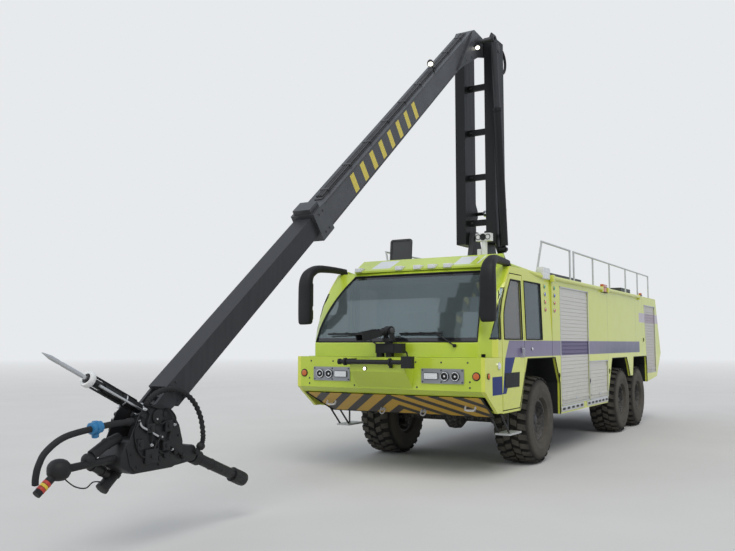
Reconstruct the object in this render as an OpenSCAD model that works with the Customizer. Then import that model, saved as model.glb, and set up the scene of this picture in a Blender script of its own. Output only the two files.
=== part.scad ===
// Six-wheeled airport fire truck with a knuckled, telescoping high-reach boom.
// Millimetres. It faces -Y, its left side is +X and the floor is z = 0.
// Every module is laid out from the front axle's middle; placed() moves it to the part's origin.

/* [Stance] */
// Front axle, measured from the part's origin (the middle of its whole length)
front_axle_y = -525; // [-600:5:-450]
// Front axle to the second axle
axle_gap_front = 5327; // [5250:1:5400]
// Second axle to the third axle
axle_gap_rear = 1536; // [1500:1:1570]
// Half the body's width
body_half_w = 1552; // [1540:1:1620]
// Height of the roof's edge
roof_z = 3045; // [2980:5:3080]

/* [Wheels] */
// Tyre radius at the lugs' tips
tyre_r = 690; // [670:1:700]
// Tyre width
tyre_w = 600; // [560:5:610]
// Height of a tread lug
lug_h = 34; // [20:1:45]
// Tread lugs round one row
lug_count = 12; // [8:1:14]
// Radius of the rim where the tyre sits
rim_r = 305; // [295:1:320]
// Radius of a wheel spindle
spindle_r = 60; // [50:1:66]
// Kingpin to the truck's centre line
kingpin_x = 1150; // [1130:1:1160]

/* [Chassis] */
// Underside of the frame rails
rail_z = 860; // [845:5:880]
// Height of a frame rail
rail_h = 250; // [220:5:260]
// Frame rail to the centre line
rail_x = 430; // [410:5:440]
// Plate thickness of a frame rail
rail_t = 12; // [8:1:16]
// Radius of the tow eye's bore
tow_bore_r = 32; // [25:1:36]

/* [Cab] */
// Foot of the windscreen
screen_foot_y = -2210; // [-2240:5:-2190]
// Sill of the windows
waist_z = 1900; // [1880:5:1920]
// Rear face of the cab
cab_rear_y = 450; // [430:5:455]
// Thickness of the cab's panels
panel_t = 45; // [38:1:52]
// Gap round a door
door_gap = 14; // [12:1:18]
// Thickness of the glass
glass_t = 8; // [6:1:12]
// Front face of the bumper
bumper_y = -2410; // [-2440:5:-2395]
// Top of the bumper
bumper_top_z = 1707; // [1700:1:1720]

/* [Body] */
// Front face of the body behind the cab
body_front_y = 465; // [462:1:480]
// Rear top edge of the body
body_rear_y = 8780; // [8750:5:8850]
// Rearmost edge of the tail
tail_y = 9300; // [9250:5:9350]
// Underside of the side lockers
locker_z = 720; // [700:5:740]
// Top of the roof handrails
handrail_z = 3600; // [3560:5:3620]
// Height of one shutter slat
slat_pitch = 66; // [50:1:90]
// Louvres in the tail grille
louvre_count = 14; // [8:1:16]

/* [Boom] */
// Slew axis behind the front axle
slew_y = 1200; // [1190:5:1210]
// Foot pivot of the lower boom
foot_z = 3850; // [3840:5:3870]
// Knuckle pivot behind the front axle
knuckle_y = 1150; // [1145:5:1160]
// Height of the knuckle pivot
knuckle_z = 7400; // [7300:5:7420]
// Slope of the upper boom below level
boom_drop = 39.4; // [39:0.1:40]
// Upper boom's middle line above the knuckle pivot
boom_lift = 355; // [345:1:365]
// Width of the upper boom's outer tube
outer_w = 290; // [285:1:296]
// Height of the upper boom's outer tube
outer_h = 330; // [325:1:340]
// Wall of both boom tubes
tube_t = 12; // [8:1:12]
// Width of the sliding inner tube
inner_w = 244; // [230:1:246]
// Height of the sliding inner tube
inner_h = 256; // [240:1:260]
// Knuckle to the lower end of the outer tube
outer_reach = 6830; // [6750:5:6850]
// Knuckle to the lower end of the inner tube
inner_reach = 9900; // [9860:5:9910]
// Radius of the boom's main pins
pin_r = 45; // [35:1:48]

/* [Hidden] */
// Radial play of a running pin, and the space between pieces that rest on each other
fit = 0.08;
seat_gap = 0.3;
axle_ys = [0, axle_gap_front, axle_gap_front + axle_gap_rear];
wheel_x = 1213;
arch_top_z = 1673;
body_top_z = roof_z - 20;
lime = "#b4dc3c";
black = "#232426";
dark = "#3c3e41";
silver = "#b9bcbf";
white = "#e8e8e4";

module placed() {
  translate([0, front_axle_y, 0]) children();
}

// Extrudes an outline drawn in (y, z) from x0 to x1
module side_plate(x0, x1) {
  translate([x0, 0, 0]) rotate([90, 0, 90]) linear_extrude(x1 - x0) children();
}

// Extrudes an outline drawn in (x, z) from y0 to y1
module front_plate(y0, y1) {
  translate([0, y1, 0]) rotate([90, 0, 0]) linear_extrude(y1 - y0) children();
}

module both_sides() {
  children();
  mirror([1, 0, 0]) children();
}

// A pin, pivot or shaft along X
module cross_pin(x0, x1, y, z, r) {
  translate([x0, y, z]) rotate([0, 90, 0]) cylinder(h = x1 - x0, r = r, $fn = 48);
}

// A round bar between two points
module bar(from, to, r, sides = 24) {
  d = to - from;
  length = norm(d);
  translate(from)
    rotate([0, acos(d[2] / length), atan2(d[1], d[0])])
      cylinder(h = length, r = r, $fn = sides);
}

// A round bar bent through a list of points; straights run on a little to fill each bend
module bent_bar(points, r, sides = 16) {
  last = len(points) - 2;
  for (i = [0:last])
    let (d = (points[i + 1] - points[i]) / norm(points[i + 1] - points[i]) * r * 0.35)
      bar(points[i] - (i == 0 ? 0 : 1) * d, points[i + 1] + (i == last ? 0 : 1) * d, r, sides);
}

function arc_points(center, radius, from, to, steps) =
  [for (i = [0:steps]) let (a = from + (to - from) * i / steps)
    [center[0], center[1] + radius * cos(a), center[2] + radius * sin(a)]];

// Chassis

rail_front_y = -1640;
rail_rear_y = 8560;
cross_ys = [-1560, -760, 900, 2100, 3400, 4500, 6095, 7700, 8440];

module chassis_frame() {
  flange = 80;
  color(black) {
    both_sides() {
      translate([rail_x, rail_front_y, rail_z]) cube([rail_t, rail_rear_y - rail_front_y, rail_h]);
      for (z = [rail_z, rail_z + rail_h - rail_t])
        translate([rail_x + rail_t - flange, rail_front_y, z]) cube([flange, rail_rear_y - rail_front_y, rail_t]);
    }
    for (y = cross_ys)
      translate([-rail_x, y - 40, rail_z + 50]) cube([2 * rail_x, 80, rail_h - 100]);
    tow_hitch();
  }
}

module tow_hitch() {
  difference() {
    translate([-70, 8440, rail_z + 40]) cube([140, 330, 130]);
    translate([0, 8700, rail_z]) cylinder(h = 300, r = tow_bore_r, $fn = 48);
    translate([-80, 8620, rail_z + 80]) cube([160, 200, 50]);
  }
}

// Half shafts' tube with the differential at its middle
module axle_tube(half) {
  rotate([0, 90, 0]) {
    translate([0, 0, -half]) cylinder(h = 2 * half, r = 85, $fn = 32);
    rotate_extrude($fn = 40)
      polygon([[0, -190], [120, -170], [205, -90], [215, 0], [205, 90], [120, 170], [0, 190]]);
  }
}

// Coil spring post and trailing links that carry an axle under the rails
module axle_hangers(reach) {
  under_rail = rail_z - tyre_r - seat_gap;
  both_sides() {
    translate([rail_x - 25, 0, 0]) cylinder(h = under_rail, r = 62, $fn = 32);
    for (i = [0:3]) translate([rail_x - 25, 0, 84 + i * 24]) cylinder(h = 12, r = 82, $fn = 32);
    for (sy = [-1, 1]) {
      bar([rail_x - 25, 0, -20], [rail_x - 25, sy * reach, under_rail - 60], 30, 16);
      translate([rail_x - 55, sy * reach - 45, under_rail - 110]) cube([60, 90, 110]);
    }
  }
}

module driven_axle(y) {
  hub_x = wheel_x - 270;
  translate([0, y, tyre_r]) {
    axle_tube(hub_x + 10);
    axle_hangers(480);
    both_sides() rotate([0, 90, 0]) {
      translate([0, 0, hub_x]) cylinder(h = 130, r = 185, $fn = 40);
      translate([0, 0, hub_x]) cylinder(h = wheel_x + 55 - hub_x, r = spindle_r, $fn = 48);
    }
  }
}

module rear_axles() {
  color(black) for (i = [1, 2]) driven_axle(axle_ys[i]);
}

yoke_half = 190;

module front_axle() {
  color(black) translate([0, 0, tyre_r]) difference() {
    union() {
      axle_tube(910);
      axle_hangers(480);
      both_sides() {
        translate([900, -60, -yoke_half - 42]) cube([50, 120, 2 * yoke_half + 84]);
        for (s = [-1, 1]) translate([0, 0, s * yoke_half - 42 * (1 - s) / 2]) {
          translate([900, -60, 0]) cube([kingpin_x - 900, 120, 42]);
          translate([kingpin_x, 0, 0]) cylinder(h = 42, r = 72, $fn = 40);
        }
      }
    }
    both_sides() translate([kingpin_x, 0, -400]) cylinder(h = 800, r = 30 + fit, $fn = 48);
  }
}

module knuckle(side) {
  color(dark) translate([side * kingpin_x, 0, tyre_r]) {
    translate([0, 0, -yoke_half - 50]) cylinder(h = 2 * yoke_half + 100, r = 30, $fn = 48);
    translate([0, 0, 8 - yoke_half]) cylinder(h = 2 * yoke_half - 16, r = 37, $fn = 40);
    rotate([0, side * 90, 0]) cylinder(h = wheel_x - kingpin_x + 55, r = spindle_r, $fn = 48);
    translate([-30, 0, -100]) cube([56, 200, 46]);
  }
}

// Wheels

module at_wheel(axle, side) {
  translate([side * wheel_x, axle_ys[axle], tyre_r]) rotate([0, side * 90, 0]) children();
}

module tyre(axle, side) {
  tread_r = tyre_r - lug_h;
  half = tyre_w / 2;
  lug_w = 128;
  lug_l = half - 65;
  color(black) at_wheel(axle, side) {
    rotate_extrude($fn = 32)
      polygon([[rim_r, -half + 92], [rim_r + 24, -half + 92], [rim_r + 70, -half + 18], [tread_r - 120, -half], [tread_r - 40, -half + 22],
        [tread_r, -half + 62], [tread_r, half - 62], [tread_r - 40, half - 22], [tread_r - 120, half],
        [rim_r + 70, half - 18], [rim_r + 24, half - 92], [rim_r, half - 92]]);
    for (row = [-1, 1], i = [0:lug_count - 1])
      rotate([0, 0, (i + (row > 0 ? 0.5 : 0)) * 360 / lug_count])
        translate([tyre_r - (lug_h + 20) / 2, 0, row * (lug_l / 2 + 8)])
          rotate([row * 20, 0, 0])
            cube([lug_h + 20, lug_w, lug_l], center = true);
  }
}

module rim(axle, side) {
  seat = rim_r - seat_gap;
  lip = tyre_w / 2 - 92;
  color(dark) at_wheel(axle, side) difference() {
    union() {
      rotate_extrude($fn = 48) polygon([[seat - 14, -lip - 14], [seat + 18, -lip - 14], [seat + 18, -lip - seat_gap],
        [seat, -lip - seat_gap], [seat, lip + seat_gap], [seat + 18, lip + seat_gap], [seat + 18, lip + 14],
        [seat - 14, lip + 14]]);
      rotate_extrude($fn = 48) polygon([[0, -20], [150, -20], [170, 40], [seat - 5, 92], [seat - 5, 112], [165, 66],
        [150, 120], [110, 150], [0, 150]]);
      for (i = [0:9]) rotate([0, 0, i * 36]) translate([205, 0, 60]) cylinder(h = 44, r = 17, $fn = 6);
    }
    translate([0, 0, -100]) cylinder(h = 165, r = spindle_r + fit, $fn = 48);
    for (i = [0:4]) rotate([0, 0, i * 72 + 18]) translate([248, 0, 40]) cylinder(h = 120, r = 24, $fn = 24);
  }
}

// Engine, one plain block behind the third axle

module engine_block() {
  mount_z = rail_z + rail_h + seat_gap;
  color("#5a5c5e") {
    translate([-370, 7460, mount_z + 40]) cube([740, 1120, 700]);
    for (y = [7560, 8380], sx = [-1, 1]) translate([sx * 385 - 50, y, mount_z]) cube([100, 100, 120]);
  }
}

// Bumper and apron

bumper_foot_z = 1252;
nose_half_w = 453;
nose_y = -2640;
apron_top = [-2300, 1160];
apron_foot = [-1690, 862];

module front_bumper() {
  color(lime) {
    side_plate(-body_half_w, body_half_w)
      polygon([[bumper_y, bumper_foot_z], [bumper_y, bumper_top_z], [screen_foot_y - seat_gap, bumper_top_z],
        [screen_foot_y - seat_gap, bumper_top_z - 260], [-2280, bumper_foot_z - 60], [apron_top[0], apron_top[1] + 12]]);
    side_plate(-nose_half_w, nose_half_w)
      polygon([[bumper_y, bumper_foot_z + 20], [nose_y, 1505], [nose_y, 1600], [bumper_y, bumper_top_z - 20]]);
    both_sides() side_plate(body_half_w - panel_t, body_half_w)
      polygon([[screen_foot_y - 100, bumper_foot_z], [screen_foot_y - 100, bumper_top_z], [-1790, bumper_top_z],
        [-1790, 932], [-1975, 932], [-2340, 1195]]);
  }
}

// Sloping striped panel under the bumper, its brackets, shackles and grab loops
module front_apron() {
  run = norm(apron_top - apron_foot);
  slope = atan2(apron_top[1] - apron_foot[1], apron_foot[0] - apron_top[0]);
  color("#c9992a") {
    translate([0, apron_foot[0], apron_foot[1]]) rotate([-slope, 0, 0]) {
      translate([0, 0, -10]) linear_extrude(10) polygon([[-1370, 0], [1370, 0], [1450, -run], [-1450, -run]]);
      both_sides() {
        translate([345, -190, -8]) shackle();
        translate([1170, -380, -8]) grab_loop();
      }
    }
    both_sides() side_plate(rail_x - 30, rail_x - 18)
      polygon([[rail_front_y - seat_gap, 852], [rail_front_y - seat_gap, 1100], [-2130, 1100],
        [apron_foot[0], apron_foot[1] - 2]]);
  }
}

module shackle() {
  translate([-30, -20, -40]) cube([14, 60, 45]);
  translate([16, -20, -40]) cube([14, 60, 45]);
  translate([-42, 0, -25]) rotate([0, 90, 0]) cylinder(h = 84, r = 10, $fn = 20);
  translate([0, 0, -62]) rotate([90, 0, 0]) rotate_extrude($fn = 24) translate([38, 0]) circle(10, $fn = 14);
}

module grab_loop() {
  for (sx = [-1, 1]) bar([sx * 75, 0, 4], [sx * 75, 0, -67], 12, 16);
  bar([-86, 0, -55], [86, 0, -55], 12, 16);
}

// Cab

// Plan outline of the glasshouse at height z, drawn in by inset
function pillar_y(z) = let (k = (z - waist_z) / (roof_z - waist_z)) screen_foot_y + 280 + 26 * k + 574 * k * k;
function screen_y(z) = let (k = (z - waist_z) / (roof_z - waist_z)) screen_foot_y + 353 * k + 497 * k * k;
function corner_x(z) = let (k = (z - waist_z) / (roof_z - waist_z)) body_half_w - 185 - 32 * k - 238 * k * k;
function side_x(z) = let (k = (z - waist_z) / (roof_z - waist_z)) body_half_w - 35 * k;

function cab_ring(z, inset) =
  let (
    x1 = corner_x(z) - inset * 0.8,
    y1 = screen_y(z) + inset,
    x2 = side_x(z) - inset,
    y2 = pillar_y(z) + inset * 0.6,
    rear = cab_rear_y - inset,
    bow = 40
  )
  [[-x1 / 2, y1 - bow * 0.8], [0, y1 - bow], [x1 / 2, y1 - bow * 0.8], [x1, y1], [x2, y2], [x2, rear],
    [-x2, rear], [-x2, y2], [-x1, y1]];

module glasshouse(inset) {
  top = roof_z - inset;
  foot = waist_z - (inset > 0 ? 2 : 0);
  hull() for (i = [0:5])
    let (z = foot + (top - foot) * i / 5)
      translate([0, 0, i == 0 ? z : z - 1]) linear_extrude(1) polygon(cab_ring(z, inset));
}

// Belt between the bumper's top and the window sills
module cab_belt(inset) {
  foot = bumper_top_z + (inset > 0 ? inset : 2);
  translate([0, 0, foot]) linear_extrude(waist_z - foot) polygon(cab_ring(waist_z, inset));
}

sill_z = 918;
// The cab's floor rests on the frame rails
floor_z = rail_z + rail_h + seat_gap;

module cab_lower(inset) {
  top = bumper_top_z + inset + 4;
  difference() {
    union() {
      side_plate(-body_half_w + inset, body_half_w - inset)
        polygon([[-1775 + inset, top], [-1775 + inset, sill_z + inset], [-1080 - inset * 0.6, sill_z + inset],
          [-745 - inset * 0.6, arch_top_z + inset], [cab_rear_y - inset, arch_top_z + inset],
          [cab_rear_y - inset, top]]);
      side_plate(-1480 + inset, 1480 - inset)
        polygon([[screen_foot_y + inset, top], [screen_foot_y + inset, 1500], [-1970 + inset, 1150 + inset],
          [-1700, 1150 + inset], [-1700, top]]);
    }
    translate([-620 - inset, -1800, 800]) cube([2 * (620 + inset), 820, floor_z - 800 + inset]);
  }
}

module cab_skin() {
  difference() {
    union() {
      glasshouse(0);
      cab_belt(0);
      cab_lower(0);
    }
    glasshouse(panel_t);
    cab_belt(panel_t);
    cab_lower(panel_t);
  }
}

door_front_y = -1765;
door_rear_y = -870;
door_top_z = 2930;
door_zs = [2260, 2400, 2540, 2680, 2810, door_top_z];

// Door outline in (y, z), grown by g; its front edge follows the windscreen pillar
function door_outline(g) = concat(
  [[door_rear_y + g, door_top_z + g], [door_rear_y + g, 1480 - g / 2], [-1112 + g / 2, 965 - g],
    [door_front_y - g, 965 - g]],
  [for (z = door_zs) [max(door_front_y, pillar_y(z) + 75) - g, z + (z == door_top_z ? g : 0)]]);

function window_outline(low, rear, top, margin, front) = concat(
  [[rear, top], [rear, low], [front, low]],
  [for (z = [2200, 2350, 2500, 2650, top]) [max(front, pillar_y(z) + margin), z]]);

door_window = window_outline(1965, door_rear_y - 75, door_top_z - 85, 165, door_front_y + 80);
rear_window = [[-790, 1965], [-35, 1965], [-35, 2860], [-790, 2860]];
quarter_window = [[-2042, 1965], [-1822, 1965], [-1822, 2290], [-1745, 2500], [-1605, 2710], [-1645, 2710],
  [-1778, 2500], [-1914, 2225]];

// Windscreen opening, seen from the front
function screen_outline(grow) =
  let (
    zs = [waist_z + 28 - grow, 2200, 2450, 2700, roof_z - 60 + grow],
    right = [for (z = zs) [corner_x(z) - 12 + grow, z]],
    left = [for (i = [len(zs) - 1:-1:0]) [-corner_x(zs[i]) + 12 - grow, zs[i]]]
  )
  concat(right, left);

module side_cut(side) {
  side_plate(side > 0 ? 1050 : -1700, side > 0 ? 1700 : -1050) children();
}

hatch_x = -934;
hatch_hinge = [-250, 3096];
hatch_len = 622;
hatch_half_w = 215;

module cab_shell() {
  color(lime) difference() {
    union() {
      cab_skin();
      // Coaming round the roof hatch
      translate([hatch_x - 200, hatch_hinge[0] - 600, roof_z - 2]) cube([400, 560, 30]);
      // Hatch hinge
      for (sx = [-1, 1]) translate([hatch_x + sx * 175 - 10, hatch_hinge[0] - 14, roof_z - 2]) cube([20, 28, 66]);
      cross_pin(hatch_x - 175, hatch_x + 175, hatch_hinge[0], hatch_hinge[1], 7);
    }
    front_plate(-2600, -1100) polygon(screen_outline(0));
    for (side = [-1, 1]) {
      side_cut(side) polygon(door_outline(door_gap));
      side_cut(side) polygon(rear_window);
      side_cut(side) polygon(quarter_window);
    }
    translate([hatch_x - 170, hatch_hinge[0] - 550, roof_z - 200]) cube([340, 485, 400]);
  }
}

// Panes that follow the glasshouse, a little behind its outer face
module pane() {
  sink = 14;
  difference() {
    glasshouse(sink);
    glasshouse(sink + glass_t);
  }
}

module cab_glass() {
  color("#7f9aa6") {
    intersection() {
      pane();
      front_plate(-2600, -1100) offset(delta = -seat_gap) polygon(screen_outline(0));
    }
    for (side = [-1, 1]) intersection() {
      pane();
      side_cut(side) {
        offset(delta = -seat_gap) polygon(rear_window);
        offset(delta = -seat_gap) polygon(quarter_window);
      }
    }
  }
}

module door_leaf(side) {
  color(lime) {
    difference() {
      intersection() {
        cab_skin();
        side_plate(side > 0 ? 1470 : -1700, side > 0 ? 1700 : -1470) polygon(door_outline(0));
      }
      side_cut(side) polygon(door_window);
    }
    // Handle
    translate([side * (body_half_w + 8) - 12, door_rear_y - 130, 1760]) cube([24, 36, 90]);
  }
}

module door_glass(side) {
  color("#7f9aa6") intersection() {
    pane();
    side_cut(side) offset(delta = -seat_gap) polygon(door_window);
  }
}

module dashboard() {
  color(dark) {
    side_plate(-1250, 1250)
      polygon([[-2040, 1390], [-2140, 1540], [-2140, 1780], [-2080, 1850], [-1900, 1880], [-1800, 1840],
        [-1790, 1640], [-1960, 1390]]);
    // Pedestal on the floor and the centre console
    translate([-240, -1900, 1150 + panel_t + seat_gap]) cube([480, 90, 400]);
    bar([0, -1900, 1700], [0, -1624, 1870], 34, 20);
    translate([0, -1620, 1872]) rotate([-58, 0, 0]) {
      rotate_extrude($fn = 32) translate([215, 0]) circle(16, $fn = 12);
      translate([0, 0, -22]) cylinder(h = 36, r = 52, $fn = 24);
      for (a = [90, 210, 330]) rotate([0, 0, a]) translate([0, -14, -7]) cube([215, 28, 14]);
    }
  }
}

seat_places = [[0, -1330, floor_z + panel_t + seat_gap], [-720, -560, arch_top_z + panel_t + seat_gap],
  [720, -560, arch_top_z + panel_t + seat_gap]];

module seats() {
  color("#33363a") for (p = seat_places) translate([p[0], p[1], p[2]]) {
    foot = p[2] < 1500 ? 260 : 40;
    translate([-170, -160, 0]) cube([340, 380, foot + 2]);
    translate([0, 30, foot]) linear_extrude(120) round_rect(500, 500, 60);
    translate([0, 260, foot + 90]) rotate([8, 0, 0]) front_plate(0, 120) translate([0, 330]) round_rect(480, 640, 70);
  }
}

module round_rect(w, h, r) {
  hull() for (sx = [-1, 1], sy = [-1, 1]) translate([sx * (w / 2 - r), sy * (h / 2 - r)]) circle(r, $fn = 24);
}

// A round bar that swells from one radius to the next at each point
module swelling_bar(points, radii) {
  for (i = [0:len(points) - 2])
    let (d = points[i + 1] - points[i], length = norm(d))
      translate(points[i]) rotate([0, acos(d[2] / length), atan2(d[1], d[0])])
        cylinder(h = length, r1 = radii[i], r2 = radii[i + 1], $fn = 24);
  // A ball a little proud of the tube fills each bend
  for (i = [1:len(points) - 2]) translate(points[i]) sphere(r = radii[i] * 1.045 + 1, $fn = 24);
}

module mirrors() {
  r = 50;
  color(black) both_sides() {
    swelling_bar([[1440, -1250, roof_z + r + seat_gap], [1465, -1560, roof_z + r + 11], [1502, -1930, 3096],
      [1522, -2090, 3044], [1534, -2190, 2965], [1537, -2236, 2840]], [r, 54, 66, 78, 82, 80]);
    front_plate(-2328, -2152) translate([1538, 2575]) round_rect(226, 742, 90);
  }
}

module wipers() {
  // Each as [pivot x, arm's end x, blade's ends x, how far the screen's bow stands out at the pivot]
  color(black) for (w = [[1030, 720, 130, 830, 17.3], [-190, -520, -1130, -430, 37.9]]) {
    bar([w[0], screen_foot_y - w[4] - seat_gap - 36, 1872], [w[0], screen_foot_y - w[4] - seat_gap, 1872], 24, 20);
    bar([w[0], screen_foot_y - w[4] - 26, 1872], [w[1], screen_foot_y + 4, 2052], 10, 12);
    bar([w[2], screen_foot_y + 6, 2052], [w[3], screen_foot_y + 6, 2056], 9, 12);
  }
}

module roof_visor() {
  foot = roof_z + seat_gap;
  color(lime) {
    difference() {
      hull() {
        translate([0, 0, foot]) linear_extrude(30)
          polygon([[-1130, -1435], [1130, -1435], [1262, -960], [1262, -870], [-1262, -870], [-1262, -960]]);
        translate([0, 0, 3265]) linear_extrude(20)
          polygon([[-1240, -955], [1240, -955], [1256, -930], [1256, -885], [-1256, -885], [-1256, -930]]);
      }
      hull() {
        translate([-1150, -1290, foot - 1]) cube([2300, 430, 1]);
        translate([-1180, -940, 3250]) cube([2360, 90, 1]);
      }
    }
  }
}

module roof_hatch() {
  color(dark) translate([hatch_x, hatch_hinge[0], hatch_hinge[1]]) rotate([-95, 0, 0]) difference() {
    union() {
      translate([0, -hatch_len / 2 - 22, -10]) linear_extrude(30) round_rect(2 * hatch_half_w, hatch_len, 50);
      for (sx = [-1, 1]) translate([sx * 120 - 25, 0, 0]) {
        rotate([0, 90, 0]) cylinder(h = 50, r = 14, $fn = 20);
        translate([0, -40, -8]) cube([50, 40, 16]);
      }
    }
    translate([-hatch_half_w + 30, -hatch_len + 8, -20]) cube([2 * hatch_half_w - 60, hatch_len - 60, 24]);
    cross_pin(-200, 200, 0, 0, 7 + fit);
  }
}

module entry_steps() {
  color("#8d8f8a") both_sides() {
    for (x = [1300, 1470]) bar([x, -1660, sill_z - 14], [x, -1330, 590], 14, 16);
    translate([1270, -1390, 570]) cube([230, 470, 28]);
    bar([1385, -1180, 590], [1385, -1180, sill_z - seat_gap], 14, 16);
  }
}

// Equipment body

body_outline = [[body_front_y, body_top_z], [body_front_y, arch_top_z], [600, arch_top_z], [840, 1250], [840, locker_z],
  [3900, locker_z], [4330, 1600], [5590, 1600], [5760, 1390], [5880, 1184], [6140, 1184], [6230, 1600], [7560, 1600],
  [7610, 1400], [7610, 985], [8740, 1080], [tail_y, 1660], [body_rear_y, body_top_z]];
centre_half_w = 780;
tunnel_z = rail_z + rail_h + seat_gap;

// Shutter openings as [front y at the top, front y at the foot, rear y, low z, high z]
shutter_openings = [[905, 905, 2610, 860, 2870], [2665, 2665, 3960, 850, 1560], [7440, 7665, 8650, 1200, 2820]];
function front_at(o, z) = o[1] + (o[0] - o[1]) * (z - o[3]) / (o[4] - o[3]);
tail_slope = atan2(tail_y - body_rear_y, body_top_z - 1660);

module at_tail() {
  translate([0, tail_y, 1660]) rotate([tail_slope, 0, 0]) children();
}

module body_module() {
  recess = 34;
  color(lime) difference() {
    union() {
      difference() {
        side_plate(-body_half_w, body_half_w) polygon(body_outline);
        translate([-centre_half_w, 400, 0]) cube([2 * centre_half_w, 9000, 1640]);
      }
      translate([-centre_half_w, 880, tunnel_z]) cube([2 * centre_half_w, 6460, 500]);
      translate([-centre_half_w, body_front_y, arch_top_z]) cube([2 * centre_half_w, 600, 100]);
      // Inner walls of the side lockers
      both_sides() {
        translate([620, 880, locker_z]) cube([200, 2980, 500]);
        translate([centre_half_w - 60, 7640, 1010]) cube([60, 1080, 640]);
      }
    }
    // Engine bay, open below
    translate([-centre_half_w + 60, 7400, 900]) cube([2 * centre_half_w - 120, 1290, 1060]);
    for (o = shutter_openings, side = [-1, 1])
      side_plate(side * body_half_w - recess, side * body_half_w + recess)
        polygon([[o[1], o[3]], [o[2], o[3]], [o[2], o[4]], [o[0], o[4]]]);
    at_tail() translate([-1055 - seat_gap, -56 - seat_gap, 115 - seat_gap])
      cube([2110 + 2 * seat_gap, 120, 1140 + 2 * seat_gap]);
  }
}

// One shutter's slats: a ribbed curtain that fills its opening
module shutter_slats(o) {
  slats = floor((o[4] - o[3] - 60) / slat_pitch);
  foot = o[3] + 6;
  top = foot + slats * slat_pitch;
  x0 = body_half_w - 34 + seat_gap;
  face = body_half_w - 12;
  translate([0, o[2] - 6, 0]) rotate([90, 0, 0]) linear_extrude(o[2] - o[0] - 12)
    polygon(concat(
      [[x0, o[4] - 6], [x0, foot]],
      [for (i = [0:slats - 1]) each [[face - 7, foot + i * slat_pitch], [face, foot + i * slat_pitch + 9],
        [face, foot + (i + 1) * slat_pitch - 5]]],
      [[face - 7, top], [face - 4, o[4] - 6]]));
}

module shutter(o) {
  if (o[0] == o[1]) shutter_slats(o);
  else intersection() {
    shutter_slats(o);
    side_plate(body_half_w - 80, body_half_w + 80) polygon([[front_at(o, o[3] - 50) + 6, o[3] - 50],
      [o[2] + 50, o[3] - 50], [o[2] + 50, o[4] + 50], [front_at(o, o[4] + 50) + 6, o[4] + 50]]);
  }
  // Pull bar
  translate([body_half_w - 16, front_at(o, o[3] + 76) + 60, o[3] + 76])
    cube([26, o[2] - front_at(o, o[3] + 76) - 120, 22]);
}

module shutters() {
  color(silver) both_sides() for (o = shutter_openings) shutter(o);
}

module rear_grille() {
  color(black) at_tail() {
    difference() {
      translate([-1055, -56, 115]) cube([2110, 66, 1140]);
      translate([-1005, -70, 165]) cube([2010, 100, 1040]);
    }
    for (i = [0:louvre_count - 1]) translate([-1010, -48, 172 + i * 1040 / louvre_count])
      rotate([-38, 0, 0]) cube([2020, 10, 62]);
    for (x = [-505, 0, 505]) translate([x - 12, -56, 160]) cube([24, 20, 1050]);
  }
}

handrail_ys = [[218, 1761], [1996, 3273, 4541, 5951, 7137, 8324]];

module handrails() {
  x = 1480;
  r = 17;
  top = handrail_z - r;
  color("#c8cac8") both_sides() for (group = handrail_ys) {
    for (y = group) {
      foot = (y < body_front_y ? roof_z : body_top_z) + seat_gap;
      post_x = y < body_front_y ? 1385 : x;
      bar([post_x, y, foot], [post_x, y, foot + 14], 38, 20);
      bar([post_x, y, foot + 6], [x, y, top], r, 16);
    }
    bar([x, group[0] - 20, top], [x, group[len(group) - 1] + 20, top], r, 16);
  }
}

// Loudhailer on the visor, roof boxes and lamp brackets
module roof_gear() {
  color(white) {
    translate([940, -912, 3285 + seat_gap]) {
      cylinder(h = 230, r = 45, $fn = 24);
      translate([-120, -60, 215]) cube([240, 120, 120]);
    }
    translate([860, -912, 3285 + seat_gap]) cylinder(h = 90, r = 40, $fn = 24);
  }
  color(dark) both_sides() {
    translate([1180, 820, body_top_z + seat_gap]) cube([230, 1880, 90]);
    translate([900, 6200, body_top_z + seat_gap]) cube([420, 900, 160]);
  }
}

module lamps() {
  side = body_half_w + seat_gap;
  color(white) {
    both_sides() headlight_cluster();
    for (x = [-1050, -300, 30, 280, 550]) side_plate(x - 62, x + 62)
      polygon([[-1462, 3062], [-1462, 3127], [-1330, 3127], [-1435.4, 3077.5], [-1435.4, 3062]]);
    both_sides() {
      cross_pin(side, side + 16, -2300, 1456, 42);
      cross_pin(side, side + 26, -1925, 1590, 40);
      translate([1425, bumper_y - 16, 1456]) rotate([-90, 0, 0]) cylinder(h = 16 - seat_gap, r = 45, $fn = 32);
      // Scene lamps at the cab's rear corners, and lamps over the body's roof edge
      translate([1434, 60, roof_z + seat_gap]) cube([116, 340, 105]);
      for (y = [[3620, 325], [7025, 120]])
        translate([1523, y[0], body_top_z + seat_gap]) cube([66, y[1], 68]);
      for (y = [180, 600], z = [2830, 2704, 2578, 2452])
        let (face = y < 400 ? side_x(z - 38) : body_half_w) cross_pin(face + seat_gap, face + 14, y, z, 34);
      at_tail() for (i = [0:2])
        translate([1300, seat_gap, 190 + i * 170]) rotate([-90, 0, 0]) cylinder(h = 16, r = 62, $fn = 32);
    }
    translate([-200, nose_y - 18, 1545]) rotate([-90, 0, 0]) cylinder(h = 18 - seat_gap, r = 30, $fn = 24);
  }
}

module headlight_cluster() {
  translate([595, bumper_y - 14, 1349]) cube([650, 14 - seat_gap, 205]);
  for (x = [960, 1120]) translate([x, bumper_y - 40, 1451]) rotate([-90, 0, 0]) cylinder(h = 30, r = 62, $fn = 32);
  translate([640, bumper_y - 36, 1405]) cube([220, 26, 92]);
}

// Bumper turret and the spare lance beside it

turret_x = 50;
turret_y = -2380;
turret_z = 2090;
turret_pan = -30;

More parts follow.
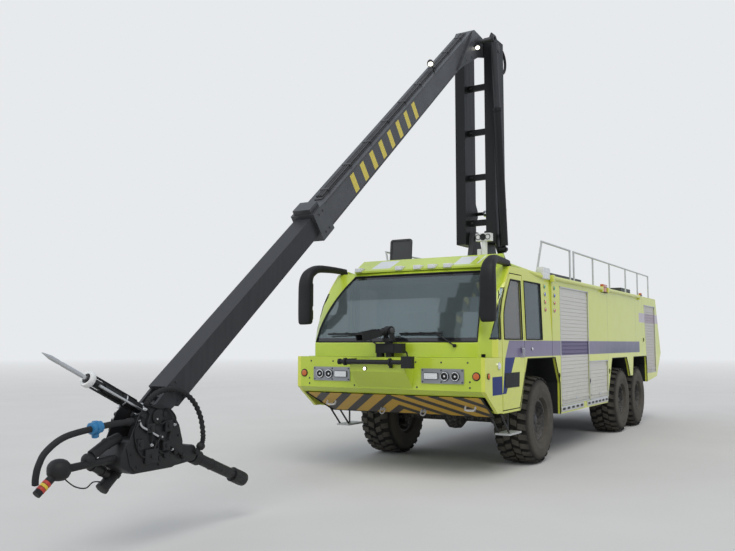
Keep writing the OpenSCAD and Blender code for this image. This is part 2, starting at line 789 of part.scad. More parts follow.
module turret_base() {
  color(dark) {
    translate([-145, turret_y - 55, 1765]) cube([440, 110, 140]);
    for (x = [-140, 20]) translate([x, turret_y - 36, bumper_top_z + seat_gap]) cube([90, 80, 60]);
    translate([turret_x, turret_y, 1900]) cylinder(h = 35, r = 58, $fn = 32);
  }
}

module at_turret() {
  translate([turret_x, turret_y, 0]) rotate([0, 0, turret_pan]) children();
}

module turret_swivel() {
  color(black) at_turret() {
    translate([0, 0, 1935 + seat_gap]) cylinder(h = 45, r = 100, $fn = 32);
    for (sx = [-1, 1]) translate([sx * 84 - 9, -38, 1970]) cube([18, 76, turret_z - 1930]);
    cross_pin(-104, 104, 0, turret_z, 22);
  }
}

// Flat, wide-mouthed nozzle, a little below level
module turret_nozzle() {
  color(black) at_turret() translate([0, 0, turret_z]) difference() {
    union() {
      cross_pin(-69, 69, 0, 0, 62);
      rotate([102, 0, 0]) {
        cylinder(h = 260, r = 52, $fn = 32);
        side_plate(-105, 105) polygon([[-46, 190], [46, 190], [58, 500], [-58, 500]]);
      }
    }
    cross_pin(-200, 200, 0, 0, 22 + fit);
    rotate([102, 0, 0]) translate([-92, -42, 240]) cube([184, 84, 300]);
  }
}

module bumper_lance() {
  color(black) {
    cross_pin(-610, 460, nose_y - 55, 1642, 33);
    cross_pin(-612, -575, nose_y - 55, 1642, 42);
    translate([440, nose_y - 95, 1560]) cube([165, 90, 165]);
    for (x = [-498, 245]) cross_pin(x - 14, x + 14, nose_y - 55, 1642, 55);
    translate([231, nose_y - 60, 1560]) cube([28, 60 - seat_gap, 110]);
    translate([-512, nose_y - 60, 1600]) cube([28, bumper_y - nose_y + 60 - seat_gap, 84]);
  }
}

// Boom

lift_foot = [2500, 3300];
lift_eye = [slew_y + 250, foot_z + 500];
tilt_foot = [slew_y - 120, foot_z - 250];
tilt_eye = [knuckle_y - 450, knuckle_z];
tilt_x = 490;
beam_in = 200;
beam_out = 390;
beam_front = -260;
beam_back = 220;

module turntable() {
  base_z = body_top_z + seat_gap;
  color(dark) difference() {
    union() {
      translate([0, slew_y, base_z]) cylinder(h = 90, r = 560, $fn = 64);
      translate([0, slew_y, base_z + 80]) cylinder(h = 70, r = 470, $fn = 64);
      side_plate(-330, 330) polygon([[slew_y - 380, base_z + 140], [slew_y - 300, 3420], [slew_y + 420, 3420],
        [slew_y + 520, base_z + 140]]);
      both_sides() {
        side_plate(95, 185) polygon([[slew_y - 260, 3400], [slew_y - 130, foot_z + 40], [slew_y - 80, foot_z + 120],
          [slew_y + 80, foot_z + 120], [slew_y + 130, foot_z + 40], [slew_y + 330, 3400]]);
        side_plate(66, 100) polygon([[slew_y + 300, base_z + 140], [slew_y + 300, 3410], [lift_foot[0] + 60, 3390],
          [lift_foot[0] + 90, 3300], [lift_foot[0] + 60, 3210], [slew_y + 400, base_z + 140]]);
      }
      cross_pin(-415, 415, slew_y, foot_z, pin_r);
      cross_pin(-100, 100, lift_foot[0], lift_foot[1], 32);
    }
    // Room for the lift cylinder between the cheeks
    side_plate(-94, 94) polygon([[slew_y - 40, 3421], [slew_y + 430, 3421], [slew_y + 520, 3300], [slew_y + 300, 3300]]);
  }
}

beam_wall = 14;

// One of the two box beams, closed by end plates
module box_beam() {
  foot = foot_z - 130;
  top = knuckle_z + 150;
  w = beam_out - beam_in;
  d = beam_back - beam_front;
  difference() {
    translate([beam_in, slew_y + beam_front, foot]) cube([w, d, top - foot]);
    translate([beam_in + beam_wall, slew_y + beam_front + beam_wall, foot + 2 * beam_wall])
      cube([w - 2 * beam_wall, d - 2 * beam_wall, top - foot - 4 * beam_wall]);
  }
}

module lower_boom() {
  rung_pitch = 856;
  color(black) difference() {
    union() {
      both_sides() {
        box_beam();
        cross_pin(beam_in, beam_out, slew_y, foot_z, 100);
        cross_pin(beam_in, beam_out + 8, knuckle_y, knuckle_z, 95);
        cross_pin(56, beam_in, lift_eye[0], lift_eye[1], 34);
        side_plate(beam_in, beam_out - 10) polygon([[slew_y + beam_back - 40, lift_eye[1] - 240],
          [slew_y + beam_back - 40, lift_eye[1] + 240], [lift_eye[0] + 60, lift_eye[1] + 60],
          [lift_eye[0] + 60, lift_eye[1] - 60]]);
      }
      for (i = [0:3]) translate([-beam_in - 6, slew_y - 60, foot_z + 231 + i * rung_pitch])
        cube([2 * beam_in + 12, 60, 110]);
      cross_pin(-beam_in, beam_in, knuckle_y, knuckle_z, pin_r);
      // Foot bracket of the tilt cylinder, on the left beam
      side_plate(beam_out - 16, beam_out + 6) polygon([[tilt_foot[0] - 70, tilt_foot[1] - 40], [slew_y + beam_front, foot_z],
        [slew_y + beam_back, foot_z], [tilt_foot[0] + 80, tilt_foot[1] - 50]]);
      cross_pin(beam_out - 16, tilt_x + 60, tilt_foot[0], tilt_foot[1], 32);
      cross_pin(beam_out - 16, tilt_x - 36, tilt_foot[0], tilt_foot[1], 60);
      knuckle_hoses();
    }
    cross_pin(-500, 500, slew_y, foot_z, pin_r + fit);
  }
}

// Hoses that stand out behind the knuckle, and the guard over its top
module knuckle_hoses() {
  top = knuckle_z + 140;
  bent_bar(concat([[320, slew_y + 200, top - 60]], arc_points([320, slew_y + 270, top - 290], 230, 70, -70, 8),
    [[320, slew_y + 200, top - 540]]), 24, 12);
  both_sides() bent_bar([[300, slew_y - 220, top], [300, slew_y - 120, top + 130], [300, slew_y + 60, top + 130],
    [300, slew_y + 180, top]], 18, 12);
}

// Places a cylinder's own frame: +Z runs from foot to eye, both given in (y, z)
module along(foot, eye, x) {
  translate([x, foot[0], foot[1]]) rotate([atan2(foot[0] - eye[0], eye[1] - foot[1]), 0, 0]) children();
}

// The barrel's body starts at body_z, behind a neck as wide as its eye
module cylinder_barrel(length, r, bore_r, eye_half, pin, body_z) {
  difference() {
    union() {
      translate([-eye_half, 0, 0]) rotate([0, 90, 0]) cylinder(h = 2 * eye_half, r = pin + 28, $fn = 40);
      translate([0, 0, 30]) cylinder(h = body_z - 20, r = eye_half, $fn = 40);
      translate([0, 0, body_z]) cylinder(h = length - body_z, r = r, $fn = 40);
      translate([0, 0, length - 60]) cylinder(h = 60, r = r + 10, $fn = 40);
    }
    translate([0, 0, max(pin + 40, body_z + 20)]) cylinder(h = length, r = bore_r, $fn = 40);
    translate([-200, 0, 0]) rotate([0, 90, 0]) cylinder(h = 400, r = pin + fit, $fn = 40);
  }
}

module cylinder_rod(start, length, r, eye_half, eye_r) {
  translate([0, 0, start]) cylinder(h = length - eye_r + 2 - start, r = r, $fn = 40);
  translate([0, 0, length - eye_r - 20]) cylinder(h = 42, r = eye_half, $fn = 40);
  difference() {
    translate([-eye_half, 0, length]) rotate([0, 90, 0]) cylinder(h = 2 * eye_half, r = eye_r, $fn = 40);
    translate([-200, 0, length]) rotate([0, 90, 0]) cylinder(h = 400, r = eye_r - 30, $fn = 40);
  }
}

lift_rest = norm(lift_eye - lift_foot);
tilt_rest = norm(tilt_eye - tilt_foot);
lift_rod_r = 36;
tilt_rod_r = 58;

module lift_barrel() {
  color(dark) along(lift_foot, lift_eye, 0) cylinder_barrel(760, 58, lift_rod_r + 0.4, 46, 32, 30);
}

module lift_rod() {
  color(silver) along(lift_foot, lift_eye, 0) cylinder_rod(705, lift_rest, lift_rod_r, 40, 62);
}

module tilt_barrel() {
  color(black) along(tilt_foot, tilt_eye, tilt_x) cylinder_barrel(2560, 75, tilt_rod_r + 0.4, 30, 32, 68);
}

module tilt_rod() {
  color(dark) along(tilt_foot, tilt_eye, tilt_x) cylinder_rod(1980, tilt_rest, tilt_rod_r, 26, 72);
}

// Upper boom: its frame has the knuckle at the origin and runs out along -Y
module at_knuckle() {
  translate([0, knuckle_y, knuckle_z]) rotate([boom_drop, 0, 0]) children();
}

function in_boom(p) =
  let (dy = p[0] - knuckle_y, dz = p[1] - knuckle_z)
  [dy * cos(boom_drop) + dz * sin(boom_drop), -dy * sin(boom_drop) + dz * cos(boom_drop)];

module box_tube(w, h, t, y0, y1, mid_z) {
  difference() {
    translate([-w / 2, y0, mid_z - h / 2]) cube([w, y1 - y0, h]);
    translate([-w / 2 + t, y0 - 1, mid_z - h / 2 + t]) cube([w - 2 * t, y1 - y0 + 2, h - 2 * t]);
  }
}

heel_y = -350;
inner_rise = 18;
guide_gap = 0.3;

module upper_boom() {
  eye = in_boom(tilt_eye);
  half = outer_w / 2;
  color(dark) at_knuckle() difference() {
    union() {
      box_tube(outer_w, outer_h, tube_t, -outer_reach, heel_y, boom_lift);
      // Guide ring at the mouth, running close round the inner tube
      difference() {
        translate([-half + 1, -outer_reach, boom_lift - outer_h / 2 + 1]) cube([outer_w - 2, 150, outer_h - 2]);
        translate([-inner_w / 2 - guide_gap, -outer_reach - 1, boom_lift + inner_rise - inner_h / 2 - guide_gap])
          cube([inner_w + 2 * guide_gap, 152, inner_h + 2 * guide_gap]);
      }
      // End collar and the lamp box on it
      box_tube(outer_w + 56, outer_h + 56, 28 + tube_t, -outer_reach, -outer_reach + 300, boom_lift);
      translate([-130, -outer_reach + 20, boom_lift + outer_h / 2 + 20]) cube([260, 210, 70]);
      both_sides() side_plate(half - 2, half + 38) polygon([[-1500, boom_lift - outer_h / 2 + 30],
        [heel_y, boom_lift + outer_h / 2], [heel_y + 110, boom_lift + 60], [110, 60], [130, 0], [95, -95], [0, -130],
        [-120, -110], [-520, 60], [-1250, boom_lift - outer_h / 2]]);
      cross_pin(half + 30, tilt_x - 40, eye[0], eye[1], 34);
      cross_pin(half + 30, half + 90, eye[0], eye[1], 62);
      // Bracket under the heel
      translate([-60, -1330, boom_lift - outer_h / 2 - 70]) cube([120, 180, 72]);
    }
    cross_pin(-400, 400, 0, 0, pin_r + fit);
  }
}

head_pivot = [-6980, 1220];
head_pin_r = 30;

module tip_boom() {
  mid_z = boom_lift + inner_rise;
  pivot = in_boom(head_pivot);
  color(dark) at_knuckle() difference() {
    union() {
      box_tube(inner_w, inner_h, tube_t, -inner_reach, -5000, mid_z);
      // Slide blocks at its inner end, running close inside the outer tube
      difference() {
        translate([-outer_w / 2 + tube_t + guide_gap, -5150, boom_lift - outer_h / 2 + tube_t + guide_gap])
          cube([outer_w - 2 * tube_t - 2 * guide_gap, 150, outer_h - 2 * tube_t - 2 * guide_gap]);
        translate([-inner_w / 2 + 1, -5200, mid_z - inner_h / 2 + 1]) cube([inner_w - 2, 250, inner_h - 2]);
      }
      translate([-inner_w / 2, -inner_reach - 20, mid_z - inner_h / 2]) cube([inner_w, 30, inner_h]);
      both_sides() side_plate(88, 120) polygon([[-inner_reach, mid_z + 100], [-inner_reach, mid_z - 100],
        [pivot[0] + 20, pivot[1] - 75], [pivot[0] - 60, pivot[1] - 50], [pivot[0] - 80, pivot[1]],
        [pivot[0] - 60, pivot[1] + 50], [pivot[0] + 20, pivot[1] + 75]]);
    }
    cross_pin(-400, 400, pivot[0], pivot[1], head_pin_r + fit);
  }
}

monitor_pivot = [-6450, 820];

module nozzle_head() {
  color(black) {
    cross_pin(-124, 124, head_pivot[0], head_pivot[1], head_pin_r);
    cross_pin(-80, 80, head_pivot[0], head_pivot[1], 78);
    side_plate(-78, 78) polygon([[head_pivot[0] - 75, head_pivot[1]], [head_pivot[0] + 75, head_pivot[1]],
      [head_pivot[0] + 60, 1000], [head_pivot[0] - 160, 1000]]);
    side_plate(-150, 150) polygon([[-7400, 900], [-7300, 1030], [-6760, 1030], [-6640, 900], [-6640, 760], [-6760, 720],
      [-7250, 720], [-7400, 800]]);
    both_sides() side_plate(140, 160) polygon([[-7300, 800], [-7345, 960], [-7270, 1110], [-7195, 1270], [-7120, 1325],
      [-7010, 1335], [-6900, 1315], [-6790, 1250], [-6690, 1120], [-6640, 960], [-6645, 790], [-6760, 735],
      [-7240, 735]]);
    both_sides() side_plate(92, 130) polygon([[-6700, 930], [-6700, 730], [-6440, 750], [-6390, 820], [-6440, 890]]);
    cross_pin(-125, 125, monitor_pivot[0], monitor_pivot[1], head_pin_r);
    head_lance();
    head_sensors();
  }
}

// Lance, its drive cylinder and the guide ring on the front of the head
module head_lance() {
  base = [0, head_pivot[0] - 60, head_pivot[1] + 60];
  dir = [0, -0.894, 0.447];
  bar(base - dir * 24, base + dir * 520, 52, 32);
  bar(base + dir * 500, base + dir * 720, 38, 32);
  bar(base + dir * 660, base + dir * 720, 74, 32);
  bar(base + dir * 700, base + dir * 1140, 20, 24);
  translate(base + dir * 1137) rotate([63.4, 0, 0]) cylinder(h = 93, r1 = 20, r2 = 3, $fn = 24);
}

module head_sensors() {
  bar([60, -7300, 880], [60, -7900, 850], 34, 12);
  translate([60, -7980, 850]) rotate_extrude($fn = 12)
    polygon([[0, -90], [60, -76], [98, -30], [98, 25], [60, 76], [0, 96]]);
  bar([60, -8040, 800], [60, -8190, 680], 36, 12);
  bar([-90, -7200, 760], [-90, -7400, 590], 55, 12);
  bent_bar([[140, -7150, 1010], [150, -7500, 1050], [150, -7950, 1010], [150, -8200, 900], [130, -8235, 780],
    [80, -8170, 700]], 15, 8);
  bent_bar([[168, -7140, 1330], [172, -7075, 1405], [172, -6960, 1455], [172, -6816, 1468], [172, -6650, 1425],
    [172, -6508, 1323], [172, -6410, 1170], [168, -6372, 1000], [150, -6395, 900], [126, -6425, 845]], 24, 8);
}

module main_nozzle() {
  color(black) translate([0, monitor_pivot[0], monitor_pivot[1]]) difference() {
    union() {
      cross_pin(-86, 86, 0, 0, 80);
      rotate([-113.7, 0, 0]) {
        cylinder(h = 960, r = 56, $fn = 32);
        translate([0, 0, 120]) cylinder(h = 90, r = 76, $fn = 32);
        translate([0, 0, 800]) cylinder(h = 190, r = 74, $fn = 32);
      }
    }
    cross_pin(-200, 200, 0, 0, head_pin_r + fit);
    rotate([-113.7, 0, 0]) translate([0, 0, 700]) cylinder(h = 400, r = 44, $fn = 32);
  }
}

placed() chassis_frame();
placed() front_axle();
placed() rear_axles();
placed() knuckle(1);  // knuckle_left
placed() knuckle(-1);  // knuckle_right
placed() tyre(0, 1);  // tyre_front_left
placed() tyre(0, -1);  // tyre_front_right
placed() tyre(1, 1);  // tyre_mid_left
placed() tyre(1, -1);  // tyre_mid_right
placed() tyre(2, 1);  // tyre_rear_left
placed() tyre(2, -1);  // tyre_rear_right
placed() rim(0, 1);  // rim_front_left
placed() rim(0, -1);  // rim_front_right
placed() rim(1, 1);  // rim_mid_left
placed() rim(1, -1);  // rim_mid_right
placed() rim(2, 1);  // rim_rear_left
placed() rim(2, -1);  // rim_rear_right
placed() engine_block();
placed() front_bumper();
placed() front_apron();
placed() lamps();
placed() cab_shell();
placed() cab_glass();
placed() door_leaf(1);  // door_left
placed() door_leaf(-1);  // door_right
placed() door_glass(1);  // door_glass_left
placed() door_glass(-1);  // door_glass_right
placed() dashboard();
placed() seats();
placed() mirrors();
placed() wipers();
placed() roof_visor();
placed() roof_hatch();
placed() entry_steps();
placed() body_module();
placed() shutters();
placed() rear_grille();
placed() handrails();
placed() roof_gear();
placed() bumper_lance();
placed() turret_base();
placed() turret_swivel();
placed() turret_nozzle();
placed() turntable();
placed() lower_boom();
placed() lift_barrel();
placed() lift_rod();
placed() tilt_barrel();
placed() tilt_rod();
placed() upper_boom();
placed() tip_boom();
placed() nozzle_head();
placed() main_nozzle();
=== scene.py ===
"""Looks of the six-wheeled airport fire truck.

Lengths are metres. Pieces are laid out like the solids: from the middle of the front axle,
with the truck facing -Y and its left side at +X. make() moves them to the part's own origin.
"""

import math

import bmesh
import bpy
from mathutils import Matrix, Vector


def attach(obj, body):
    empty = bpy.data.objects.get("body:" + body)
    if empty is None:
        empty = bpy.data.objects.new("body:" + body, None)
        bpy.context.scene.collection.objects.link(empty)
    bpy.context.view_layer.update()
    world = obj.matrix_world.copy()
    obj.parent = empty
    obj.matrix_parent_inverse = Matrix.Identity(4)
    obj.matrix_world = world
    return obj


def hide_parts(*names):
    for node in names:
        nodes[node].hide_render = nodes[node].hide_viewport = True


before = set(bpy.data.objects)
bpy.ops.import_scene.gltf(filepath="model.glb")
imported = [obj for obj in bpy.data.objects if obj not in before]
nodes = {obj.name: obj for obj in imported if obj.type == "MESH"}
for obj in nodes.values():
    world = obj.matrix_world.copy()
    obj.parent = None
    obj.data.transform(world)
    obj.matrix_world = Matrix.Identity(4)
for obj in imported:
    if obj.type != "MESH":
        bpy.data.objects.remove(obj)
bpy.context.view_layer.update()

FRONT_AXLE = -0.525
SIDES = (1, -1)
ORIGIN = (0, 0, 0)
UP = (0, 0, 1)
FRONT = (0, -1, 0)
NAMED_SIDES = ((1, "left"), (-1, "right"))
SEAT_GAP = 0.0003
LEAST_RADIUS = 0.0002
SHIFT = Vector((0.0, FRONT_AXLE, 0.0))

# Camera, at the photograph's angle
IMAGE_WIDTH_PX = 735
FOCAL_PX = 792.94
SENSOR_MM = 36.0
camera_data = bpy.data.cameras.new("camera")
camera_data.sensor_width = SENSOR_MM
camera_data.lens = FOCAL_PX * SENSOR_MM / IMAGE_WIDTH_PX
camera_data.clip_end = 400.0
camera = bpy.data.objects.new("camera", camera_data)
camera.location = (5.753, -12.938, 1.907)
camera.rotation_euler = (math.radians(94.881), 0.0, math.radians(31.156))
bpy.context.scene.collection.objects.link(camera)
bpy.context.scene.camera = camera

# Sizes shared with the solids
WHEEL_X = 1.213
AXLE_YS = (0.0, 5.327, 6.863)
TYRE_R = 0.69
TREAD_R = TYRE_R - 0.034
HALF_W = 1.552
WAIST_Z = 1.9
ROOF_Z = 3.045
SCREEN_FOOT_Y = -2.21
BUMPER_Y = -2.41
BODY_TOP_Z = 3.025
SLEW_Y = 1.2
FOOT_Z = 3.85
KNUCKLE = (1.15, 7.4)
BOOM_DROP = math.radians(39.4)
HEAD_PIVOT = (-6.98, 1.22)
MONITOR_PIVOT = (-6.45, 0.82)
TAIL_Y = 9.3
TAIL_FOOT_Z = 1.66
TAIL_SLOPE = math.atan2(0.52, BODY_TOP_Z - TAIL_FOOT_Z)
TURRET = Vector((0.05, -2.38, 2.09))
TURRET_PAN = math.radians(-30.0)
# Each as front edge's y at the top and at the foot, rear y, low z, high z
SHUTTERS = ((0.905, 0.905, 2.61, 0.86, 2.87), (2.665, 2.665, 3.96, 0.85, 1.56),
            (7.44, 7.665, 8.65, 1.2, 2.82))


# Mesh helpers

def circle(count, radius=1.0, start=0.0):
    """Points round a circle, the first one start steps along."""
    angles = [math.tau * (k + start) / count for k in range(count)]
    return [(radius * math.cos(a), radius * math.sin(a)) for a in angles]


class Shape:
    """Collects the faces of one piece."""

    def __init__(self):
        self.bm = bmesh.new()

    def box(self, low, high, bevel=0.0, turn=None, pivot=None):
        """A block between two opposite corners, with rounded edges; turn is a matrix about the pivot."""
        made = bmesh.ops.create_cube(self.bm, size=1.0)["verts"]
        middle = [(a + b) / 2 for a, b in zip(low, high)]
        size = [abs(b - a) for a, b in zip(low, high)]
        for v in made:
            v.co = Vector([m + c * s for m, c, s in zip(middle, v.co, size)])
        if bevel:
            made = self.round_edges([e for v in made for e in v.link_edges], bevel)
        if turn is not None:
            for v in made:
                v.co = pivot + turn @ (v.co - pivot)
        return self

    def loft(self, rings, closed=False):
        """Skins a row of rings that have equally many points; a closed one has no caps."""
        made = [[self.bm.verts.new(p) for p in ring] for ring in rings]
        count = len(made[0])
        pairs = list(zip(made, made[1:])) + ([(made[-1], made[0])] if closed else [])
        for a, b in pairs:
            for i in range(count):
                j = (i + 1) % count
                self.bm.faces.new((a[i], a[j], b[j], b[i]))
        if not closed:
            self.bm.faces.new(list(reversed(made[0])))
            self.bm.faces.new(made[-1])
        return self

    def tube(self, points, radius, sides=14, closed=False):
        """A round bar along points; radius is one value or one for each point."""
        points = [Vector(p) for p in points]
        last = len(points) - 1
        radii = list(radius) if isinstance(radius, (list, tuple)) else [radius] * (last + 1)
        tangents = []
        for i in range(last + 1):
            before = points[i - 1] if i or closed else points[i]
            after = points[(i + 1) % (last + 1)] if i < last or closed else points[i]
            tangents.append((after - before).normalized())
        normal = tangents[0].orthogonal().normalized()
        if abs(tangents[0].x) < 0.95:
            normal = (Vector((1, 0, 0)) - tangents[0] * tangents[0].x).normalized()
        rings = []
        for i, point in enumerate(points):
            if i:
                normal = tangents[i - 1].rotation_difference(tangents[i]) @ normal
            other = tangents[i].cross(normal).normalized()
            rings.append([point + normal * c + other * s for c, s in circle(sides, radii[i])])
        return self.loft(rings, closed)

    def revolve(self, profile, at, axis, sides=32, closed=False):
        """Turns a profile of (radius, distance along the axis) about an axis through a point."""
        axis = Vector(axis).normalized()
        side = axis.orthogonal().normalized()
        up = axis.cross(side)
        at = Vector(at)
        rings = [[at + axis * h + (side * c + up * s) * max(r, LEAST_RADIUS) for c, s in circle(sides)]
            for r, h in profile]
        return self.loft(rings, closed)

    def ring(self, at, axis, radius, thick, sides=40, round_sides=10):
        """A round ring, such as a bezel or a seal."""
        profile = [(radius + c, s) for c, s in circle(round_sides, thick)]
        return self.revolve(profile, at, axis, sides, closed=True)

    def prism(self, outline, axis, low, high, bevel=0.0):
        """Extrudes an outline, drawn in the two other axes, along an axis."""
        order = {"x": (2, 0, 1), "y": (0, 2, 1), "z": (0, 1, 2)}[axis]
        foot, top = ([self.bm.verts.new([(u, v, w)[i] for i in order]) for u, v in outline]
            for w in sorted((low, high)))
        count = len(outline)
        faces = [self.bm.faces.new((foot[i], foot[(i + 1) % count], top[(i + 1) % count], top[i]))
            for i in range(count)]
        faces += [self.bm.faces.new(list(reversed(foot))), self.bm.faces.new(top)]
        if bevel:
            self.round_edges([e for f in faces for e in f.edges], bevel)
        return self

    def round_edges(self, edges, bevel):
        """Bevels edges, each named once or more."""
        return bmesh.ops.bevel(self.bm, geom=list(dict.fromkeys(edges)), offset=bevel, segments=2,
            profile=0.5, affect="EDGES")["verts"]

    def bolt(self, at, axis, radius=0.011, height=0.008):
        """A hex head on its washer."""
        self.revolve([(radius * 1.5, 0.0), (radius * 1.5, height * 0.25), (radius * 1.1, height * 0.3)], at,
            axis, 14)
        self.revolve([(radius, height * 0.2), (radius, height * 0.85), (radius * 0.8, height)], at, axis, 6)
        return self


def smooth_path(points, steps=5):
    """A curve through the points."""
    points = [Vector(p) for p in points]
    out = []
    for i in range(len(points) - 1):
        p0, p1, p2, p3 = (points[min(max(i + k, 0), len(points) - 1)] for k in (-1, 0, 1, 2))
        for k in range(steps):
            t = k / steps
            out.append(0.5 * ((2 * p1) + (p2 - p0) * t + (2 * p0 - 5 * p1 + 4 * p2 - p3) * t * t
                + (3 * p1 - p0 - 3 * p2 + p3) * t ** 3))
    return out + [points[-1]]


def rounded(cx, cz, half_w, half_h, r, steps=5):
    """Outline of a rectangle with round corners."""
    out = []
    for sx, sz, start in ((1, 1, 0), (-1, 1, 90), (-1, -1, 180), (1, -1, 270)):
        for k in range(steps + 1):
            a = math.radians(start + 90 * k / steps)
            out.append((cx + sx * (half_w - r) + r * math.cos(a), cz + sz * (half_h - r) + r * math.sin(a)))
    return out


SHARP = math.radians(38)


def make(name, shape, material, body="chassis", place=None):
    """Turns a shape into a piece that rides on a body."""
    bmesh.ops.remove_doubles(shape.bm, verts=shape.bm.verts, dist=0.00005)
    bmesh.ops.recalc_face_normals(shape.bm, faces=shape.bm.faces)
    if place is not None:
        shape.bm.transform(place)
    shape.bm.transform(Matrix.Translation(SHIFT))
    for face in shape.bm.faces:
        face.smooth = True
    for edge in shape.bm.edges:
        edge.smooth = len(edge.link_faces) == 2 and edge.calc_face_angle(0.0) < SHARP
    mesh = bpy.data.meshes.new(name)
    shape.bm.to_mesh(mesh)
    shape.bm.free()
    mesh.materials.append(material)
    thing = bpy.data.objects.new(name, mesh)
    bpy.context.scene.collection.objects.link(thing)
    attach(thing, body)
    return thing


def piece(material, body="chassis", place=None):
    """Lets the function below fill a shape, and turns that into a piece with the function's name."""
    def run(build):
        shape = Shape()
        build(shape)
        return make(build.__name__, shape, material, body, place)
    return run


# Materials

class Field:
    """A value that changes over the surface; arithmetic on it builds Math nodes."""

    def __init__(self, tree, socket):
        self.tree, self.socket = tree, socket

    def maths(self, operation, other=0.0, swap=False, clamp=False):
        node = add_node(self.tree, "Math", operation)
        node.use_clamp = clamp
        for value, socket in zip((other, self) if swap else (self, other), node.inputs):
            plug(self.tree, value, socket)
        return Field(self.tree, node.outputs[0])

    def __add__(self, other):
        return self.maths("ADD", other)

    def __sub__(self, other):
        return self.maths("SUBTRACT", other)

    def __rsub__(self, other):
        return self.maths("SUBTRACT", other, swap=True)

    def __mul__(self, other):
        return self.maths("MULTIPLY", other)

    def __truediv__(self, other):
        return self.maths("DIVIDE", other)

    def __gt__(self, other):
        return self.maths("GREATER_THAN", other)

    def __lt__(self, other):
        return self.maths("LESS_THAN", other)

    def __or__(self, other):
        return self.maths("MAXIMUM", other)

    def __abs__(self):
        return self.maths("ABSOLUTE")

    def within(self, low, high):
        """1 between low and high, 0 outside."""
        return (self > low) * (self < high)

    def ramp(self, low, high):
        """0 below low, 1 above high; low may be above high."""
        node = add_node(self.tree, "MapRange", From_Min=low, From_Max=high, Value=self)
        return Field(self.tree, node.outputs["Result"])


def plug(tree, value, socket):
    """Sets an input to a field, another node's output, a colour, a vector or a number."""
    if isinstance(value, Field):
        value = value.socket
    if isinstance(value, bpy.types.NodeSocket):
        tree.links.new(value, socket)
    elif socket.type == "RGBA":
        socket.default_value = (*value, 1.0)
    else:
        socket.default_value = value


def add_node(tree, kind, operation=None, **values):
    """A new node; a value's name is its input's, with _ for the space."""
    node = tree.nodes.new("ShaderNode" + kind)
    if operation:
        node.operation = operation
    for name, value in values.items():
        plug(tree, value, node.inputs[name.replace("_", " ")])
    return node


def mix_shaders(tree, amount, first, second, output):
    """Blends two shaders into the output's surface."""
    blend = tree.nodes.new("ShaderNodeMixShader")
    for value, socket in zip((amount, first, second), blend.inputs):
        plug(tree, value, socket)
    tree.links.new(blend.outputs[0], tree.nodes[output].inputs["Surface"])


def scaled(colour, factor, lift=0.0):
    """A lighter or darker tone of a colour."""
    return tuple(min(1.0, c * factor + lift) for c in colour)


class Look:
    """A node material. Its colour is built up from masks that are laid out in the part's frame."""

    def __init__(self, name):
        self.material = bpy.data.materials.new(name)
        self.material.use_nodes = True
        self.tree = self.material.node_tree
        self.shader = self.tree.nodes["Principled BSDF"]
        coords = add_node(self.tree, "TexCoord")
        self.place, self.normal = coords.outputs["Object"], coords.outputs["Normal"]
        split = add_node(self.tree, "SeparateXYZ", Vector=self.place)
        self.x, self.y, self.z = (Field(self.tree, split.outputs[axis]) for axis in "XYZ")

    def noise(self, scale, detail=3.0, roughness=0.5, stretch=None):
        source = self.place
        if stretch:
            source = add_node(self.tree, "Mapping", Vector=source, Scale=stretch).outputs[0]
        node = add_node(self.tree, "TexNoise", Vector=source, Scale=scale, Detail=detail, Roughness=roughness)
        return Field(self.tree, node.outputs["Fac"])

    def mix(self, amount, a, b):
        node = self.tree.nodes.new("ShaderNodeMix")
        node.data_type = "RGBA"
        for value, name in ((amount, "Factor"), (a, "A"), (b, "B")):
            plug(self.tree, value, node.inputs[name])
        return Field(self.tree, node.outputs["Result"])

    def vector(self, operation, a, b, output):
        node = add_node(self.tree, "VectorMath", operation)
        for value, socket in zip((a, b), node.inputs):
            plug(self.tree, value, socket)
        return node.outputs[output]

    def along(self, direction, origin):
        """Distance of a point from origin along a direction."""
        reach = Field(self.tree, self.vector("DOT_PRODUCT", self.place, direction, "Value"))
        return reach - Vector(direction).dot(Vector(origin))

    def inward(self, middle):
        """1 on faces that look towards a point inside, such as a shell's inner side."""
        offset = self.vector("SUBTRACT", self.place, middle, "Vector")
        return Field(self.tree, self.vector("DOT_PRODUCT", self.normal, offset, "Value")) < 0.0

    def finish(self, colour, roughness, metal=0.0, coat=0.0, bump=None, bump_mm=0.5, specular=0.5, alpha=1.0):
        for value, name in ((colour, "Base Color"), (roughness, "Roughness"), (metal, "Metallic"),
                (coat, "Coat Weight"), (0.06, "Coat Roughness"), (specular, "Specular IOR Level"),
                (alpha, "Alpha")):
            plug(self.tree, value, self.shader.inputs[name])
        if bump is not None:
            node = add_node(self.tree, "Bump", Strength=0.6, Distance=bump_mm / 1000.0, Height=bump)
            plug(self.tree, node.outputs[0], self.shader.inputs["Normal"])
        return self.material

    def weathered(self, colour, dusty_below=0.0, amount=0.35):
        """Small changes of tone, with road dust low down."""
        tone = self.noise(1.7, 4.0).ramp(0.3, 0.7)
        colour = self.mix(tone, scaled(colour, 0.9), scaled(colour, 1.06, 0.004))
        speckle = self.noise(26.0, 5.0, 0.65).ramp(0.42, 0.75)
        where = self.z.ramp(dusty_below + 0.7, dusty_below) * speckle * amount
        return self.mix(where, colour, ROAD_DUST)


def simple(name, colour, roughness, metal=0.0, coat=0.0, grain=60.0, grain_mm=0.3, dusty_below=0.0,
        amount=0.3, specular=0.35):
    """One colour with grain and small changes of tone."""
    look = Look(name)
    rough = (look.noise(9.0, 4.0) * 0.16).maths("ADD", roughness - 0.08, clamp=True)
    return look.finish(look.weathered(colour, dusty_below, amount), rough, metal, coat, look.noise(grain),
        grain_mm, specular)


def row(y):
    """From the row of axles to the part's own Y."""
    return y + FRONT_AXLE


